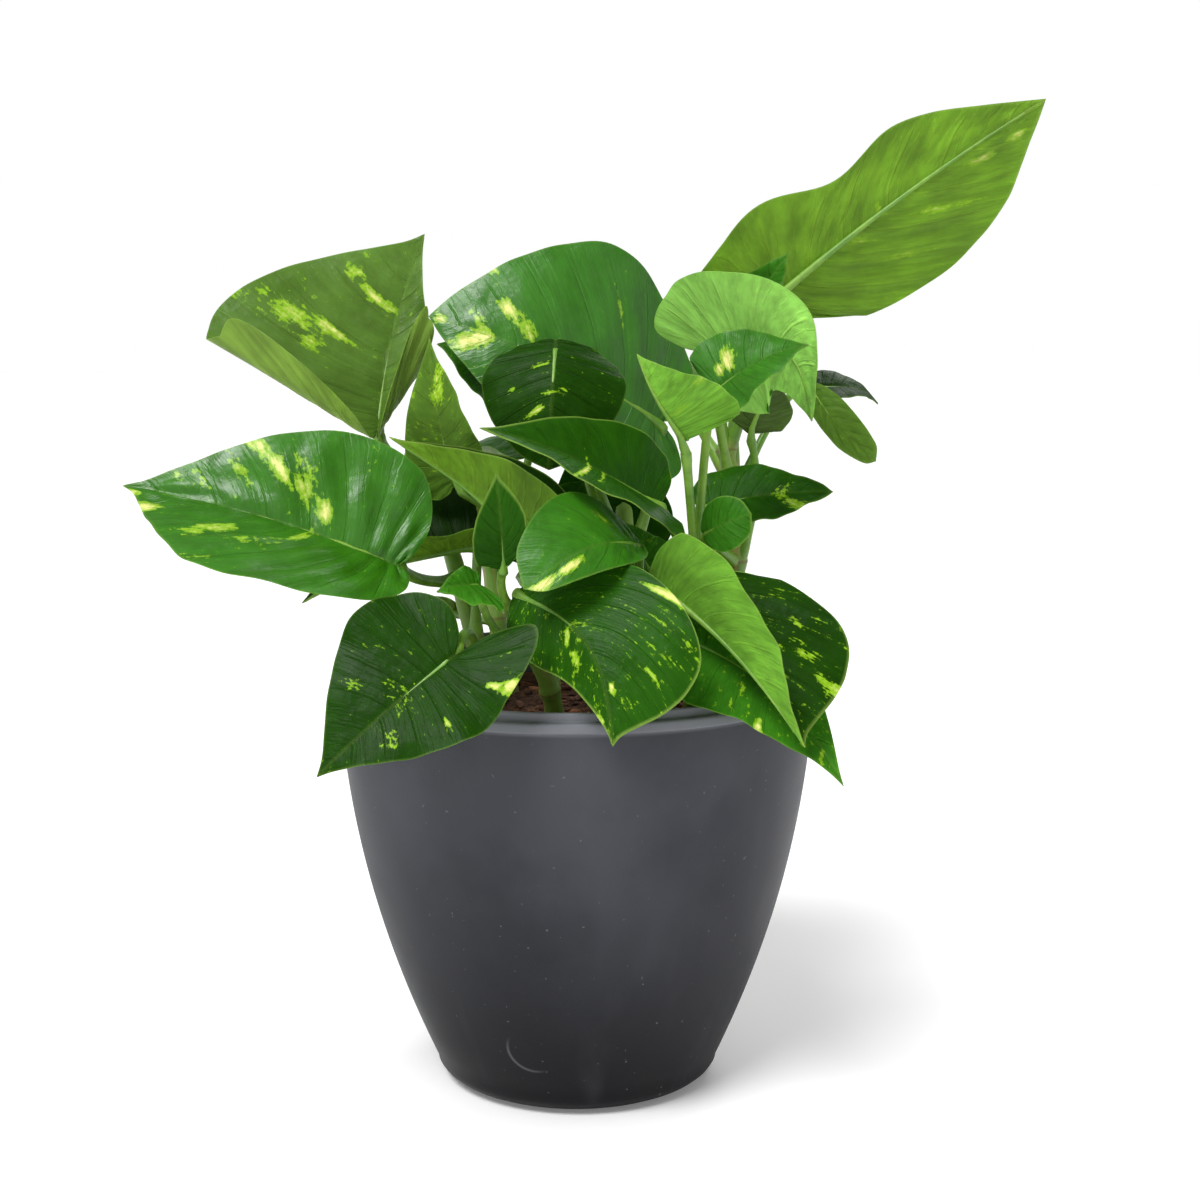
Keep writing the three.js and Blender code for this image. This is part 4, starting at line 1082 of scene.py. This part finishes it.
def scuff(shader):
    """1 on a faint crescent scraped low on the front, 0 elsewhere."""
    axes = shader.axes()
    across = shader.math("SUBTRACT", axes["X"], SCUFF_CENTRE[0])
    up = shader.math("SUBTRACT", axes["Z"], SCUFF_CENTRE[1])
    spread = shader.math("SQRT", shader.times(across, across, shader.times(up, up)))
    away = shader.math("ABSOLUTE", shader.math("SUBTRACT", spread, SCUFF_RADIUS))
    line = shader.remap(away, 0.0, SCUFF_WIDTH, 1.0, 0.0)
    corner = shader.remap(shader.math("ADD", across, up), -0.012, -0.004, 1.0, 0.0)
    front = shader.remap(axes["Y"], -0.02, -0.01, 1.0, 0.0)
    return shader.times(shader.times(line, corner), front)


def soil_material():
    """Damp potting mix between the chips."""
    shader = Shader("soil_mix", 0.9, specular=0.2)
    crumbs = shader.noise(380.0, detail=4.0, roughness=0.65)
    broad = shader.noise(60.0)
    colour = shader.blend(shader.remap(crumbs, 0.35, 0.65), srgb(34, 22, 16), srgb(92, 58, 40))
    colour = shader.blend(shader.remap(broad, 0.4, 0.7, 0.0, 0.5), colour, srgb(60, 40, 28))
    normal = shader.bump(crumbs, 0.0015, 0.9)
    return shader.finish(colour, None, normal)


def bark_material():
    """Chips of bark, from dark brown to a reddish tan, with grain along them."""
    shader = Shader("bark_chip", 0.82, specular=0.25)
    seed = shader.attribute("seed")
    grain = shader.noise(700.0, detail=4.0, roughness=0.7)
    colour = shader.blend(seed, srgb(66, 38, 26), srgb(142, 92, 62))
    colour = shader.blend(shader.remap(grain, 0.4, 0.62, 0.0, 0.7), colour, srgb(44, 26, 18))
    normal = shader.bump(grain, 0.0008, 0.8)
    return shader.finish(colour, shader.remap(grain, *MIDDLE, 0.7, 0.95), normal)


def floor_material():
    shader = Shader("pale_floor", 0.6, specular=0.2)
    soft = shader.noise(0.8, detail=2.0)
    shader.surface.inputs["Emission Color"].default_value = (1.0, 1.0, 1.0, 1.0)
    shader.surface.inputs["Emission Strength"].default_value = 0.12
    return shader.finish(shader.blend(soft, srgb(246, 246, 246), srgb(251, 251, 251)))


# ---- stage, light and camera ----
def make_stage():
    parts = MeshParts()
    parts.add([(-6000, -6000, 0), (6000, -6000, 0), (6000, 6000, 0), (-6000, 6000, 0)], [(0, 1, 2, 3)])
    floor = parts.build("studio_floor", [floor_material()])


def hang(name, light, place_at, aim):
    """Puts a light in its place, shining along aim."""
    holder = bpy.data.objects.new(name, light)
    holder.location = place_at
    holder.rotation_mode = "QUATERNION"
    holder.rotation_quaternion = aim.to_track_quat("-Z", "Y")
    bpy.context.scene.collection.objects.link(holder)


def sun_light(name, towards, strength, spread_degrees):
    """A broad soft light from far away, which lights the whole floor alike."""
    light = bpy.data.lights.new(name, "SUN")
    light.energy = strength
    light.angle = math.radians(spread_degrees)
    hang(name, light, (0, 0, 0), -Vector(towards))


def area_light(name, place_at, target, size, power):
    light = bpy.data.lights.new(name, "AREA")
    light.shape = "DISK"
    light.size = size
    light.energy = power
    hang(name, light, place_at, Vector(target) - Vector(place_at))


def make_light():
    world = bpy.data.worlds.new("studio")
    world.use_nodes = True
    tree = world.node_tree
    direction = tree.nodes.new("ShaderNodeTexCoord").outputs["Generated"]
    split = tree.nodes.new("ShaderNodeSeparateXYZ")
    tree.links.new(direction, split.inputs[0])
    fade = tree.nodes.new("ShaderNodeMapRange")
    tree.links.new(split.outputs["Z"], fade.inputs["Value"])
    for socket, number in zip(list(fade.inputs)[1:5], (0.22, 0.45, 1.0, 0.3)):
        socket.default_value = number
    background = tree.nodes["Background"]
    background.inputs["Color"].default_value = (1.0, 1.0, 1.0, 1.0)
    tree.links.new(fade.outputs["Result"], background.inputs["Strength"])
    bpy.context.scene.world = world
    sun_light("overhead", (-0.35, -0.6, 1.0), 2.6, 28)
    middle = (0.0, 0.0, 0.18)
    area_light("key", (-0.45, -0.5, 1.1), middle, 0.5, 3.0)
    area_light("back", (0.35, 0.6, 0.9), middle, 0.5, 3.5)


def make_camera():
    camera = bpy.data.cameras.new("camera")
    camera.sensor_width = 36
    camera.lens = CAMERA_LENS
    camera.clip_start = 0.01
    holder = bpy.data.objects.new("camera", camera)
    holder.location = [value * MM for value in CAMERA_PLACE]
    holder.rotation_euler = (math.radians(90 - CAMERA_DOWN), 0.0, 0.0)
    bpy.context.scene.collection.objects.link(holder)
    bpy.context.scene.camera = holder


# ---- the plant ----
def main():
    bpy.context.scene.view_settings.view_transform = "Standard"
    make_camera()
    make_light()
    make_stage()
    make_pot()
    make_soil([soil_material()])
    make_chips([bark_material()])
    vine_looks = [vine_material()]
    for name in VINES:
        make_vine(name, vine_looks)
    uppers = {shine: leaf_shader("leaf_upper_" + shine, 0.34, specular, upper=True)
              for shine, specular in LEAF_SHINE.items()}
    lower = leaf_shader("leaf_lower", 0.5, 0.15, upper=False)
    stalk_skin = stalk_material()
    for index, row in enumerate(LEAVES):
        make_leaf(index, row, uppers, lower, stalk_skin)


main()
